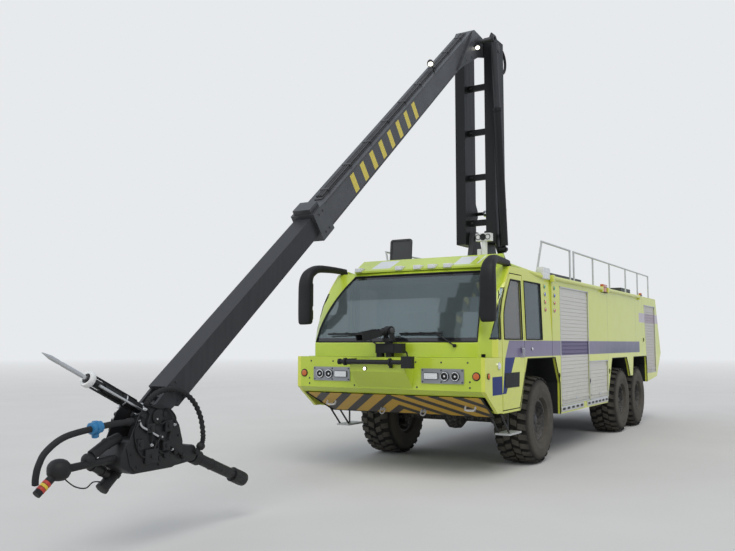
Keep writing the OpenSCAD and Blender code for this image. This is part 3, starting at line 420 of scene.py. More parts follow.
ROAD_DUST = (0.3, 0.28, 0.24)
LIME = (0.49, 0.61, 0.044)
LIME_DEEP = (0.42, 0.53, 0.034)
# Painted light: a lighter, paler lime for the flanks.
LIME_FLANK_LIT = (0.66, 0.68, 0.085)
CAB_INSIDE = (0.06, 0.066, 0.07)
UNDERBODY = (0.02, 0.021, 0.022)
STRIPE = (0.13, 0.108, 0.215)
STRIPE_FRONT = (0.16, 0.132, 0.23)
STRIPE_REAR = (0.024, 0.03, 0.09)
STRIPE_BLUE = (0.008, 0.024, 0.15)
STRIPE_PALE = (0.42, 0.35, 0.4)
SEAM = (0.055, 0.08, 0.012)
STRIPE_LOW = 1.7
STRIPE_HIGH = 1.947
PALE_LOW = 2.4
PALE_HIGH = 2.623
OUTER_X = 1.495
FOOT_LOW = 1.19


def lime_paint(name, inner_middle=None, dark_below=None, seams=()):
    """The body's paint, with painted light on its flanks, the side stripe and its blue foot."""
    look = Look(name)
    x, y, z = abs(look.x), look.y, look.z
    colour = look.mix(look.noise(0.9, 4.0).ramp(0.3, 0.7), LIME_DEEP, LIME)
    outer = x > OUTER_X
    # Painted light: the flanks beyond OUTER_X are mixed three quarters of the way to a lighter, paler lime.
    colour = look.mix(outer * 0.75, colour, LIME_FLANK_LIT)
    for seam in seams:
        colour = look.mix(outer * y.within(row(seam) - 0.004, row(seam) + 0.004), colour, SEAM)
    dust = z.ramp(1.5, 0.7) * look.noise(14.0, 5.0, 0.6).ramp(0.45, 0.8)
    colour = look.mix(dust * 0.35, colour, (0.26, 0.25, 0.2))
    # The stripe's front end slants back as it rises, and it turns darker towards the rear
    ahead = y - (z - STRIPE_LOW) * 0.62 > row(-1.66)
    stripe = outer * ahead * (y < row(6.87)) * z.within(STRIPE_LOW, STRIPE_HIGH)
    tone = y.ramp(row(2.2), row(4.6)) * z.ramp(STRIPE_HIGH + 0.15, STRIPE_LOW + 0.06)
    colour = look.mix(stripe, colour, look.mix(tone * 0.95, STRIPE_FRONT, STRIPE_REAR))
    # A blue foot runs down from it, with a square ahead
    rise = z - FOOT_LOW
    foot = (outer * z.within(FOOT_LOW, STRIPE_LOW) * (y - rise * 0.2 > row(-1.768))
        * (y - rise * 0.72 < row(-1.64)))
    blue = foot | outer * z.within(1.187, 1.442) * y.within(row(-2.155), row(-1.792))
    colour = look.mix(blue, colour, STRIPE_BLUE)
    shine = 0.5 - (blue | stripe * 0.5) * 0.42
    tail_square = outer * z.within(PALE_LOW, PALE_HIGH) * y.within(row(6.88), row(9.1))
    colour = look.mix(tail_square, colour, STRIPE_PALE)
    if inner_middle is not None:
        colour = look.mix(look.inward(inner_middle), colour, CAB_INSIDE)
    if dark_below is not None:
        colour = look.mix((x < dark_below[0]) * (z < dark_below[1]), colour, UNDERBODY)
    return look.finish(colour, look.noise(5.0, 4.0) * 0.14 + 0.24, coat=shine, bump=look.noise(130.0, 2.0),
        bump_mm=0.12, specular=shine)


def chevron_paint():
    """Ochre and black stripes that rise towards the middle of the sloping panel."""
    look = Look("apron_chevrons")
    foot = (0.0, row(-1.69), 0.862)
    up = look.along(Vector((0.0, -0.898, 0.439)), foot)
    stripes = ((abs(look.x) + up + 0.05) / 0.385).maths("FRACT") > 0.56
    worn = look.noise(30.0, 5.0, 0.7).ramp(0.62, 0.8)
    ochre = look.mix(worn, (0.5, 0.3, 0.03), (0.25, 0.17, 0.05))
    black = look.mix(worn, (0.03, 0.026, 0.024), (0.11, 0.095, 0.075))
    brackets = look.y > row(-1.688)
    proud = look.along(Vector((0.0, -0.439, -0.898)), foot) > 0.012
    colour = look.mix(proud, look.mix(stripes | brackets, ochre, black), (0.4, 0.4, 0.39))
    return look.finish(colour, 0.5, coat=0.15, bump=look.noise(90.0), bump_mm=0.2)


def step_paint():
    """The entry step: a pale plate on dark struts."""
    look = Look("step_paint")
    plate = (look.z < 0.6) * (look.y > row(-1.4))
    colour = look.mix(plate, (0.035, 0.035, 0.036), (0.46, 0.47, 0.46))
    return look.finish(colour, 0.5, 0.3, bump=look.noise(60.0), bump_mm=0.3)


def visor_paint():
    """The roof visor: lime with pale square marks along its front."""
    look = Look("visor_paint")
    high = look.z.within(3.11, 3.262)
    marks = [look.x.within(left, right) * high for left, right in ((-0.86, -0.51), (0.6, 0.88), (0.99, 1.02))]
    base = look.mix(look.noise(2.0, 4.0).ramp(0.3, 0.7), LIME_DEEP, LIME)
    colour = look.mix(marks[0] | marks[1] | marks[2], base, (0.62, 0.64, 0.64))
    return look.finish(colour, 0.34, coat=0.4, bump=look.noise(120.0, 2.0), bump_mm=0.12)


def glass_look(name, colour, alpha, frit=False):
    """Tinted glass that mirrors the sky; a screen has a printed dark edge."""
    look = Look(name)
    tone = look.mix(look.noise(0.8, 2.0).ramp(0.3, 0.7), scaled(colour, 0.86), colour)
    opacity, metal = alpha, 0.55
    if frit:
        ahead = look.y < row(-1.3)
        edge = (look.z < 1.985) * ahead | (look.z > 2.925) * ahead
        tone = look.mix(edge, tone, (0.012, 0.012, 0.014))
        opacity = edge * (1.0 - alpha) + alpha
        metal = (1.0 - edge) * 0.55
    return look.finish(tone, 0.05, metal, bump=look.noise(1.3, 1.0), bump_mm=0.5, alpha=opacity)


def tread_rubber():
    """Dusty blocks, painted shade in the grooves between them, and side walls, told apart by the distance
    from the axle.
    """
    look = Look("tyre_rubber")
    dust = look.noise(3.0, 4.0, 0.6).ramp(0.25, 0.75)
    fine = look.noise(60.0, 4.0, 0.6).ramp(0.35, 0.7)
    near, *others = [abs(look.y - row(axle_y)) for axle_y in AXLE_YS]
    for other in others:
        near = near.maths("MINIMUM", other)
    rise = look.z - TYRE_R
    away = (near * near + rise * rise).maths("SQRT")
    # Painted shade: the band between the blocks' foot and their tops is darkened almost to black.
    groove_shade = 1.0 - (away.ramp(TREAD_R + 0.004, TYRE_R - 0.008) | away.ramp(TREAD_R - 0.02, TREAD_R - 0.09))
    colour = look.mix(dust * 0.35 + (fine * 0.3 + 0.2), (0.026, 0.025, 0.023), (0.125, 0.112, 0.09))
    colour = look.mix(groove_shade * 0.85, colour, (0.008, 0.008, 0.008))
    return look.finish(colour, 0.86, bump=look.noise(160.0, 4.0, 0.7), bump_mm=0.8, specular=0.25)


def boom_paint(name, colour):
    """Satin paint of the boom, a little streaked along its length."""
    look = Look(name)
    streaks = look.noise(3.0, 5.0, 0.6, (6.0, 6.0, 0.5)).ramp(0.35, 0.7)
    base = look.mix(streaks, scaled(colour, 0.82), scaled(colour, 1.12))
    scuffs = look.noise(48.0, 6.0, 0.75).ramp(0.68, 0.78)
    base = look.mix(scuffs * 0.35, base, scaled(colour, 2.2, 0.03))
    return look.finish(base, streaks * 0.12 + 0.38, bump=look.noise(85.0), bump_mm=0.25, specular=0.25)


BARS_FROM = 3.35
BARS_TO = 5.95
BAR_PITCH = 0.325
TUBE_Z = 0.355
TIP_Z = 0.373


def upper_boom_paint():
    """Grey outer tube with slanting yellow bars on its sides."""
    look = Look("upper_boom_paint")
    origin = (0.0, row(KNUCKLE[0]), KNUCKLE[1])
    c, s = math.cos(BOOM_DROP), math.sin(BOOM_DROP)
    out = look.along(Vector((0.0, -c, -s)), origin)
    up = look.along(Vector((0.0, -s, c)), origin)
    grey = look.mix(look.noise(4.0, 5.0, 0.6).ramp(0.35, 0.7), (0.034, 0.035, 0.038), (0.052, 0.054, 0.058))
    bars = ((out - BARS_FROM) / BAR_PITCH).maths("FRACT") < 0.36
    where = (bars * out.within(BARS_FROM, BARS_TO) * up.within(TUBE_Z - 0.13, TUBE_Z + 0.13)
        * (abs(look.x) > 0.14))
    yellow = look.mix(look.noise(22.0, 5.0, 0.7).ramp(0.6, 0.8), (0.62, 0.5, 0.06), (0.28, 0.24, 0.08))
    return look.finish(look.mix(where, grey, yellow), 0.42, coat=0.12, bump=look.noise(85.0), bump_mm=0.25)


def aluminium(name, colour=(0.6, 0.61, 0.61), stripes=False):
    """Brushed metal; the shutters also carry the side stripe."""
    look = Look(name)
    brushed = look.noise(40.0, 3.0, 0.6, (1.0, 0.03, 6.0))
    tone = look.mix(brushed.ramp(0.3, 0.7), scaled(colour, 0.86), colour)
    if stripes:
        rear = look.y > row(7.0)
        tone = look.mix(rear, tone, (0.56, 0.53, 0.49))
        tone = look.mix(look.z.within(STRIPE_LOW, STRIPE_HIGH) * (1.0 - rear), tone, STRIPE)
        tone = look.mix(look.z.within(PALE_LOW, PALE_HIGH) * rear, tone, STRIPE_PALE)
        dust = look.z.ramp(1.6, 0.8) * look.noise(12.0, 5.0).ramp(0.4, 0.8)
        tone = look.mix(dust * 0.35, tone, ROAD_DUST)
    return look.finish(tone, 0.42, 0.55, bump=brushed, bump_mm=0.2)


def lens(name, colour, glow=0.0):
    """A lamp glass with small prisms."""
    look = Look(name)
    prisms = look.noise(190.0, 1.0)
    tone = look.mix(prisms.ramp(0.35, 0.65), scaled(colour, 0.7), colour)
    if glow:
        look.shader.inputs["Emission Color"].default_value = (*colour, 1.0)
        look.shader.inputs["Emission Strength"].default_value = glow
    return look.finish(tone, 0.12, coat=0.6, bump=prisms, bump_mm=0.8)


def fabric(name, colour):
    """Woven seat cloth."""
    look = Look(name)
    warp = (look.x * 1900.0).maths("SINE")
    weft = ((look.y + look.z) * 1900.0).maths("SINE")
    tone = look.mix(look.noise(18.0, 4.0).ramp(0.3, 0.7), scaled(colour, 0.8), colour)
    look.shader.inputs["Sheen Weight"].default_value = 0.25
    return look.finish(tone, 0.9, bump=warp * weft, bump_mm=0.4, specular=0.2)


def roof_gear_paint():
    """Dark boxes on the roof, and pale gear above them."""
    look = Look("roof_gear_paint")
    dark = look.mix(look.noise(6.0, 4.0), (0.03, 0.031, 0.034), (0.055, 0.057, 0.06))
    pale = look.mix(look.noise(6.0, 4.0), (0.6, 0.6, 0.58), (0.72, 0.72, 0.7))
    return look.finish(look.mix(look.z > 3.283, dark, pale), 0.5, bump=look.noise(70.0), bump_mm=0.3)


CAB_MIDDLE = (0.0, row(-0.75), 2.25)
paint_body = lime_paint("body_paint", dark_below=(1.502, 1.7), seams=(0.492, 2.262, 4.02, 6.53, 7.2))
paint_cab = lime_paint("cab_paint", inner_middle=CAB_MIDDLE)
paint_bumper = lime_paint("bumper_paint")
black_steel = simple("black_steel", (0.012, 0.0122, 0.013), 0.46, grain=75.0, specular=0.3)
dark_steel = simple("dark_steel", (0.05, 0.051, 0.053), 0.44, grain=75.0)
road_steel = simple("road_steel", (0.028, 0.027, 0.026), 0.62, grain=40.0, grain_mm=0.6, dusty_below=0.9,
    amount=0.6)
rim_steel = simple("rim_steel", (0.06, 0.06, 0.06), 0.5, grain=60.0, dusty_below=0.9, amount=0.55)
boom_black = boom_paint("boom_black", (0.011, 0.0115, 0.0125))
boom_tip = boom_paint("boom_tip", (0.032, 0.033, 0.036))
boom_grey = boom_paint("boom_grey", (0.036, 0.037, 0.04))
boom_upper = upper_boom_paint()
plastic = simple("black_plastic", (0.012, 0.012, 0.0125), 0.56, grain=220.0, grain_mm=0.5, specular=0.28)
rubber = simple("black_rubber", (0.016, 0.016, 0.017), 0.78, grain=120.0, grain_mm=0.5, specular=0.3)
chrome = simple("chrome", (0.78, 0.79, 0.8), 0.13, metal=1.0, grain=8.0, grain_mm=0.1, amount=0.05)
steel = simple("bright_steel", (0.56, 0.57, 0.58), 0.3, metal=0.9, grain=60.0, amount=0.1)
zinc = simple("zinc_plate", (0.3, 0.31, 0.32), 0.48, metal=0.55, grain=30.0, grain_mm=0.4)
white_paint = simple("white_paint", (0.7, 0.7, 0.68), 0.4, coat=0.3, amount=0.15)
yellow_paint = simple("yellow_paint", (0.66, 0.46, 0.03), 0.4, coat=0.3, amount=0.15)
red_paint = simple("red_paint", (0.48, 0.035, 0.02), 0.4, coat=0.3, amount=0.15)
blue_paint = simple("blue_paint", (0.02, 0.16, 0.34), 0.38, coat=0.3, amount=0.1)
brass = simple("brass", (0.52, 0.38, 0.16), 0.34, metal=0.8, grain=50.0)
tyre_rubber = tread_rubber()
silver = aluminium("aluminium")
shutter_silver = aluminium("shutter_aluminium", (0.7, 0.68, 0.62), stripes=True)
screen_glass = glass_look("screen_glass", (0.16, 0.2, 0.205), 0.66, frit=True)
door_glass = glass_look("door_glass", (0.3, 0.295, 0.275), 0.62)
mirror_glass = simple("mirror_glass", (0.72, 0.75, 0.77), 0.04, metal=1.0, grain=2.0, grain_mm=0.05,
    amount=0.0)
clear_lens = lens("clear_lens", (0.8, 0.82, 0.82))
lit_lens = lens("lit_lens", (1.0, 0.95, 0.8), glow=2.2)
red_lens = lens("red_lens", (0.6, 0.03, 0.018))
amber_lens = lens("amber_lens", (0.62, 0.135, 0.014))
green_lens = lens("green_lens", (0.02, 0.42, 0.16))
blue_lens = lens("blue_lens", (0.02, 0.1, 0.55))
seat_cloth = fabric("seat_cloth", (0.045, 0.05, 0.058))

NODE_LOOKS = {
    "chassis_frame": road_steel, "front_axle": road_steel, "rear_axles": road_steel,
    "knuckle_left": road_steel, "knuckle_right": road_steel, "engine_block": dark_steel,
    "front_bumper": paint_bumper, "front_apron": chevron_paint(), "cab_shell": paint_cab,
    "cab_glass": screen_glass, "door_left": paint_cab, "door_right": paint_cab,
    "door_glass_left": door_glass, "door_glass_right": door_glass, "dashboard": plastic,
    "wipers": black_steel, "roof_visor": visor_paint(), "roof_hatch": dark_steel, "entry_steps": step_paint(),
    "body_module": paint_body, "shutters": shutter_silver, "rear_grille": black_steel, "handrails": silver,
    "roof_gear": roof_gear_paint(), "bumper_lance": black_steel, "turret_base": plastic,
    "turret_swivel": black_steel, "turret_nozzle": plastic, "turntable": boom_grey, "lower_boom": boom_black,
    "lift_barrel": dark_steel, "lift_rod": chrome, "tilt_barrel": boom_black, "tilt_rod": boom_grey,
    "upper_boom": boom_upper, "tip_boom": boom_tip, "main_nozzle": black_steel,
}
for axle_name in ("front", "mid", "rear"):
    for _, side_name in NAMED_SIDES:
        NODE_LOOKS["rim_%s_%s" % (axle_name, side_name)] = rim_steel
for name, look in NODE_LOOKS.items():
    nodes[name].data.materials.clear()
    nodes[name].data.materials.append(look)


# Wheels

def wheel_place(axle, side):
    """Wheel frame: Z points outwards along the axle."""
    outwards = Matrix.Rotation(side * math.pi / 2, 4, "Y")
    return Matrix.Translation((side * WHEEL_X, AXLE_YS[axle], TYRE_R)) @ outwards


RIM_R = 0.305
LUGS = 26
LUG_TAPER = 0.84


def tyre_shape():
    """Tyre with its side walls and the two rows of blocks on each side."""
    shape = Shape()
    half = [(TREAD_R, 0.0), (TREAD_R, 0.12), (TREAD_R - 0.004, 0.205), (TREAD_R - 0.016, 0.246),
        (TREAD_R - 0.045, 0.275), (TREAD_R - 0.1, 0.296), (TREAD_R - 0.15, 0.2985), (0.47, 0.296),
        (0.462, 0.299), (0.452, 0.296), (0.4, 0.288), (0.362, 0.276), (0.352, 0.279), (0.344, 0.268),
        (0.329, 0.212), (RIM_R + 0.001, 0.207)]
    profile = half + [(r, -z) for r, z in reversed(half)][:-1]
    shape.revolve(profile, ORIGIN, UP, 88, closed=True)
    for i in range(LUGS):
        for lug_side in SIDES:
            angle = math.tau * (i + (0.5 if lug_side > 0 else 0.0)) / LUGS
            place_lug(shape, angle, lug_side, 0.012, 0.118, 0.052, 20)
            place_lug(shape, angle + 0.1, lug_side, 0.128, 0.262, 0.05, 9, wrap=0.03)
    return shape


def place_lug(shape, angle, side, z0, z1, half_width, slant, wrap=0.0):
    """One tread block; the outer ones wrap over the shoulder."""
    top, foot = TYRE_R, TREAD_R - 0.012
    shift = math.tan(math.radians(slant)) * (z1 - z0) / 2
    rings = []
    for radius, width, drop in ((foot, half_width, 0.0), (top - 0.006, half_width * LUG_TAPER, wrap),
            (top, half_width * LUG_TAPER * 0.93, wrap)):
        ring = []
        inset = 0.006 if radius == top else 0.0
        for z, lean in ((z0 + inset, -shift), (z1 - inset, shift)):
            edge_radius = radius - (drop if z > z0 + 0.05 else 0.0) * 0.6
            for sign in ((-1, 1) if z < (z0 + z1) / 2 else (1, -1)):
                turn = angle + (lean + sign * width) / edge_radius
                ring.append(Vector((edge_radius * math.cos(turn), edge_radius * math.sin(turn), side * z)))
        rings.append(ring)
    shape.loft(rings)


def hub_shape():
    """Hub cap, its bolts, wheel nuts' studs and the valve."""
    shape = Shape()
    shape.revolve([(0.108, 0.146), (0.112, 0.152), (0.108, 0.16), (0.07, 0.166), (0.066, 0.184),
        (0.05, 0.194), (0.0, 0.197)], ORIGIN, UP, 32)
    for x, y in circle(12, 0.13, 0.5):
        shape.bolt((x, y, 0.137), UP, 0.009, 0.012)
    for x, y in circle(10, 0.205):
        shape.revolve([(0.01, 0.1), (0.01, 0.118), (0.007, 0.121)], (x, y, 0.0), UP, 10)
    shape.tube([(0.262, 0.0, 0.08), (0.264, 0.0, 0.125), (0.272, 0.0, 0.15)], 0.006, 8)
    return shape


for axle_index, axle_name in enumerate(("front", "mid", "rear")):
    for side, side_name in NAMED_SIDES:
        body = "wheel_%s_%s" % (axle_name, side_name)
        place = wheel_place(axle_index, side)
        tyre = make("tread_%s_%s" % (axle_name, side_name), tyre_shape(), tyre_rubber, body, place)
        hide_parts("tyre_%s_%s" % (axle_name, side_name))
        make("hub_%s_%s" % (axle_name, side_name), hub_shape(), dark_steel, body, place)


# Cab surfaces, as the solids have them

def rise(z):
    """0 at the waist and 1 at the roof."""
    return (z - WAIST_Z) / (ROOF_Z - WAIST_Z)


def pillar_y(z):
    """Where the front corner's post meets the flank."""
    k = rise(z)
    return SCREEN_FOOT_Y + 0.28 + 0.026 * k + 0.574 * k * k


def screen_y(z):
    """The windscreen's face."""
    k = rise(z)
    return SCREEN_FOOT_Y + 0.353 * k + 0.497 * k * k


def corner_x(z):
    """Half the windscreen's width."""
    k = rise(z)
    return HALF_W - 0.185 - 0.032 * k - 0.238 * k * k


def side_x(z):
    """The cab's flank leans in a little."""
    return HALF_W - 0.035 * rise(z)


LEVELS = [WAIST_Z + (ROOF_Z - WAIST_Z) * i / 5 for i in range(6)]


def between_levels(function, z):
    """The solids' skin is straight between six levels."""
    for low, high in zip(LEVELS, LEVELS[1:]):
        if z <= high or high == LEVELS[-1]:
            t = (z - low) / (high - low)
            return function(low) * (1 - t) + function(high) * t


def front_y(x, z):
    """The glasshouse's front skin."""
    edge_x, edge_y = between_levels(corner_x, z), between_levels(screen_y, z)
    x = abs(x)
    if x <= edge_x / 2:
        return edge_y - 0.04 + 0.008 * x / (edge_x / 2)
    if x <= edge_x:
        return edge_y - 0.032 + 0.032 * (x - edge_x / 2) / (edge_x / 2)
    rear_x, rear_y = side_x(z), between_levels(pillar_y, z)
    return edge_y + (rear_y - edge_y) * (x - edge_x) / (rear_x - edge_x)


def flank_x(y, z):
    """The glasshouse's side skin."""
    rear_y = between_levels(pillar_y, z)
    if y >= rear_y:
        return side_x(z)
    edge_x, edge_y = between_levels(corner_x, z), between_levels(screen_y, z)
    return edge_x + (side_x(z) - edge_x) * (y - edge_y) / (rear_y - edge_y)


def subdivide(points, step=0.06):
    """Points a step apart along a closed outline."""
    out = []
    for a, b in zip(points, points[1:] + points[:1]):
        parts = max(1, int(math.dist(a, b) / step))
        out += [tuple(p + (q - p) * k / parts for p, q in zip(a, b)) for k in range(parts)]
    return out


def side_seal(outline, side):
    """Rubber seal round a side window."""
    path = [(side * (flank_x(y, z) + 0.001), y, z) for y, z in subdivide(outline)]
    return Shape().tube(path, 0.01, 8, closed=True)


REAR_WINDOW = [(-0.79, 1.965), (-0.035, 1.965), (-0.035, 2.86), (-0.79, 2.86)]
QUARTER_WINDOW = [(-2.042, 1.965), (-1.822, 1.965), (-1.822, 2.29), (-1.745, 2.5), (-1.605, 2.71),
    (-1.645, 2.71), (-1.778, 2.5), (-1.914, 2.225)]
DOOR_WINDOW = [(-0.945, 2.845), (-0.945, 1.965), (-1.685, 1.965)] + [(max(-1.685, pillar_y(z) + 0.165), z)
    for z in (2.2, 2.35, 2.5, 2.65, 2.845)]


@piece(rubber)
def screen_seal(shape):
    """Rubber seal round the windscreen."""
    zs = [WAIST_Z + 0.028, 2.2, 2.45, 2.7, ROOF_Z - 0.06]
    outline = [(corner_x(z) - 0.012, z) for z in zs] + [(-corner_x(z) + 0.012, z) for z in reversed(zs)]
    path = [(x, front_y(x, z) - 0.001, z) for x, z in subdivide(outline)]
    shape.tube(path, 0.011, 8, closed=True)


for side, side_name in NAMED_SIDES:
    make("rear_window_seal_" + side_name, side_seal(REAR_WINDOW, side), rubber)
    make("quarter_window_seal_" + side_name, side_seal(QUARTER_WINDOW, side), rubber)
    make("door_window_seal_" + side_name, side_seal(DOOR_WINDOW, side), rubber, "door_" + side_name)


@piece(plastic)
def cab_pillars(shape):
    """Dark inner pillars and the rails that carry the roof lining."""
    for side in SIDES:
        path = [(side * (flank_x(pillar_y(z), z) - 0.075), pillar_y(z) + 0.075, z)
            for z in [1.92 + 0.1 * k for k in range(11)]]
        shape.tube(path, 0.026, 8)
        shape.tube([(side * 1.455, -0.83, 1.72), (side * 1.43, -0.83, 2.95)], 0.03, 8)
    shape.box((-1.2, -1.33, 2.962), (1.2, -0.95, 2.985), 0.008)


def door_furniture(side):
    """Two short grips beside the door's handle, joined at the top."""
    shape = Shape()
    x = side * (HALF_W + 0.004)
    grip_x, y0, z0 = x + side * 0.03, -1.045, 1.7
    for y in (y0, y0 + 0.07):
        shape.tube(smooth_path([(x, y, z0), (grip_x, y, z0 + 0.012), (grip_x, y, z0 + 0.125),
            (x, y, z0 + 0.137)], 4), 0.008, 8)
    shape.tube([(grip_x, y0, z0 + 0.125), (grip_x, y0 + 0.07, z0 + 0.125)], 0.008, 8)
    return shape


for side, side_name in NAMED_SIDES:
    make("door_pull_" + side_name, door_furniture(side), steel, "door_" + side_name)


# Mirrors: one thick tube each, from the roof down to the glass

MIRROR_SQUARENESS = 0.72


def squared(value):
    """Pulls a circle's point out towards a square's."""
    return math.copysign(abs(value) ** MIRROR_SQUARENESS, value)


def mirror_rings(side):
    """Rings along a mirror's arm and housing."""
    keys = [((1.44, -1.25, 3.0955), 0.05, 0.05), ((1.465, -1.56, 3.106), 0.055, 0.053),
            ((1.502, -1.93, 3.096), 0.069, 0.062), ((1.522, -2.09, 3.044), 0.084, 0.07),
            ((1.534, -2.19, 2.965), 0.098, 0.078), ((1.538, -2.235, 2.84), 0.109, 0.085),
            ((1.538, -2.24, 2.62), 0.113, 0.088), ((1.538, -2.24, 2.38), 0.113, 0.088),
            ((1.538, -2.238, 2.255), 0.111, 0.086),
            ((1.538, -2.236, 2.222), 0.104, 0.08), ((1.538, -2.234, 2.204), 0.086, 0.064)]
    points = smooth_path([k[0] for k in keys], 4)
    widths = smooth_path([(k[1], k[2], 0.0) for k in keys], 4)
    rings = []
    for i, point in enumerate(points):
        ahead = points[min(i + 1, len(points) - 1)] - points[max(i - 1, 0)]
        ahead.normalize()
        across = (Vector((1, 0, 0)) - ahead * ahead.x).normalized()
        deep = ahead.cross(across)
        ring = [point + across * (squared(c) * widths[i].x) + deep * (squared(s) * widths[i].y)
            for c, s in circle(22)]
        rings.append([Vector((side * p.x, p.y, p.z)) for p in ring])
    return rings


mirror_shape = Shape()
for side in SIDES:
    mirror_shape.loft(mirror_rings(side))
    mirror_shape.revolve([(0.07, 0.0), (0.07, 0.01), (0.06, 0.016), (0.052, 0.05)],
        (side * 1.44, -1.262, 3.0455), UP, 24)
mirror_arms = make("mirror_arms", mirror_shape, plastic)
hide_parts("mirrors")


@piece(mirror_glass)
def mirror_glasses(shape):
    """Upper and lower glass of each mirror."""
    for side in SIDES:
        for low, high in ((2.47, 2.86), (2.265, 2.44)):
            outline = rounded(side * 1.538, (low + high) / 2, 0.088, (high - low) / 2, 0.03)
            shape.prism(outline, "y", -2.153, -2.1505)


# Lamps

class Lamps:
    """Collects all lamps by what they are made of."""

    def __init__(self):
        self.shapes = {}

    def part(self, key):
        return self.shapes.setdefault(key, Shape())

    def round(self, at, axis, radius, depth, colour, bezel="chrome", dome=0.35):
        """A round lamp: base, bezel and a domed lens."""
        axis = Vector(axis).normalized()
        at = Vector(at)
        self.part("base").revolve([(radius, 0.0), (radius, depth * 0.7), (radius * 0.92, depth * 0.75)], at,
            axis, 28)
        self.part(bezel).ring(at + axis * depth * 0.72, axis, radius * 0.93, radius * 0.085, 36, 8)
        rise = radius * dome
        profile = [(radius * 0.88 * math.cos(t), depth * 0.72 + rise * math.sin(t))
            for t in [math.pi / 2 * k / 6 for k in range(7)]]
        self.part(colour).revolve(profile, at, axis, 28)

    def finish(self, looks):
        return [make("lamp_" + key, shape, looks[key]) for key, shape in self.shapes.items()]


lamps = Lamps()
part = lamps.part


def head_cluster(side):
    """Plate with two round headlamps and a ribbed lamp between the nose and the corner."""
    y = BUMPER_Y - 0.0143
    x0, x1, z0, z1 = 0.595, 1.245, 1.349, 1.554
    part("plate").prism(rounded(side * (x0 + x1) / 2, (z0 + z1) / 2, (x1 - x0) / 2, (z1 - z0) / 2, 0.012),
        "y", y, BUMPER_Y - SEAT_GAP)
    for x in (x0 + 0.022, 0.905, x1 - 0.022):
        for z in (z0 + 0.022, z1 - 0.022):
            part("bolts").bolt((side * x, y, z), FRONT, 0.008, 0.007)
    for x in (0.96, 1.12):
        at = Vector((side * x, y, 1.451))
        part("base").revolve([(0.066, -0.001), (0.066, 0.018), (0.06, 0.02)], at, FRONT, 32)
        part("chrome").ring(at + Vector((0, -0.019, 0)), (0, 1, 0), 0.056, 0.0068, 40, 8)
        part("chrome").revolve([(0.052, 0.019), (0.036, 0.01), (0.018, 0.005), (0.0, 0.004)], at, FRONT, 32)
        part("clear").revolve([(0.017, 0.004), (0.017, 0.018), (0.012, 0.024), (0.0, 0.026)], at, FRONT, 20)
    x, z = side * 0.75, 1.451
    part("base").prism(rounded(x, z, 0.11, 0.046, 0.01), "y", y - 0.014, y)
    part("chrome").prism(rounded(x, z, 0.104, 0.04, 0.008), "y", y - 0.018, y - 0.013)
    for k in range(4):
        zc = z - 0.03 + 0.02 * k
        part("clear").prism(rounded(x, zc, 0.098, 0.0075, 0.005, 3), "y", y - 0.0215, y - 0.0175)


def side_lamps(side):
    """Lamps of one flank: corner, stripe, door column, cab corner and roof edge."""
    flank = side * (HALF_W + SEAT_GAP)
    lamps.round((flank, -2.3, 1.456), (side, 0, 0), 0.042, 0.014, "amber", "base")
    # Chrome side lamp on the corner
    at = Vector((flank, -1.925, 1.59))
    part("chrome").revolve([(0.052, 0.0), (0.052, 0.012), (0.04, 0.022)], at, (side, 0, 0), 28)
    part("clear").revolve([(0.036, 0.018), (0.03, 0.026), (0.0, 0.027)], at, (side, 0, 0), 24)
    at = Vector((side * 1.425, BUMPER_Y - SEAT_GAP, 1.456))
    part("base").revolve([(0.06, 0.0), (0.058, 0.006), (0.05, 0.008)], at, FRONT, 32)
    part("amber").revolve([(0.046, 0.006), (0.044, 0.012), (0.03, 0.016), (0.0, 0.017)], at, FRONT, 32)
    # Small pale lamp on the stripe
    lamps.round((flank, -0.534, 1.818), (side, 0, 0), 0.026, 0.012, "clear")
    for y in (0.18, 0.6):
        for z, colour in ((2.83, "green"), (2.704, "blue"), (2.578, "amber"), (2.452, "red")):
            face = side_x(z) if y < 0.4 else HALF_W
            lamps.round((side * (face + SEAT_GAP), y, z), (side, 0, 0), 0.034, 0.012, colour, dome=0.3)
    # Scene lamp on the cab's rear corner
    x0, x1 = 1.434, 1.55
    mid_x = side * (x0 + x1) / 2
    part("case").box((mid_x - 0.058, 0.06, ROOF_Z + SEAT_GAP), (mid_x + 0.058, 0.4, ROOF_Z + 0.105), 0.01)
    part("case").box((side * 1.5, 0.06, 2.955), (side * 1.5555, 0.4, ROOF_Z + 0.02), 0.01)
    part("clear").box((side * 1.5535, 0.085, 2.972), (side * 1.5575, 0.375, 3.03), 0.0)
    for k in range(3):
        y = 0.115 + 0.105 * k
        part("clear").box((side * 1.551 - 0.002, y, ROOF_Z + 0.022),
            (side * 1.551 + 0.002, y + 0.09, ROOF_Z + 0.086), 0.0)
    # Lamps over the roof's edge
    x = side * 1.556
    part("base").box((x - 0.033, 7.025, BODY_TOP_Z + SEAT_GAP), (x + 0.033, 7.145, BODY_TOP_Z + 0.02), 0.004)
    part("amber").box((x - 0.03, 7.031, BODY_TOP_Z + 0.018), (x + 0.03, 7.139, BODY_TOP_Z + 0.07), 0.01)
    part("base").box((side * 1.5525, 3.6, 2.925), (side * 1.584, 3.965, 3.022), 0.006)
    part("base").box((side * 1.523, 3.615, BODY_TOP_Z + SEAT_GAP), (side * 1.589, 3.95, 3.038), 0.004)
    part("amber").box((side * 1.523, 3.62, 3.034), (side * 1.589, 3.945, 3.093), 0.012)
    part("amber").box((side * 1.57, 3.62, 2.942), (side * 1.588, 3.945, 3.06), 0.008)


for side in SIDES:
    head_cluster(side)
for side in SIDES:
    side_lamps(side)

for x in (-1.05, -0.3, 0.03, 0.28, 0.55):
    part("case").prism([(-1.462, 3.062), (-1.462, 3.127), (-1.33, 3.127), (-1.4354, 3.0775),
        (-1.4354, 3.062)], "x", x - 0.062, x + 0.062, 0.004)
    for k in range(3):
        part("clear").box((x - 0.052 + 0.036 * k, -1.4645, 3.072), (x - 0.02 + 0.036 * k, -1.461, 3.116), 0.0)

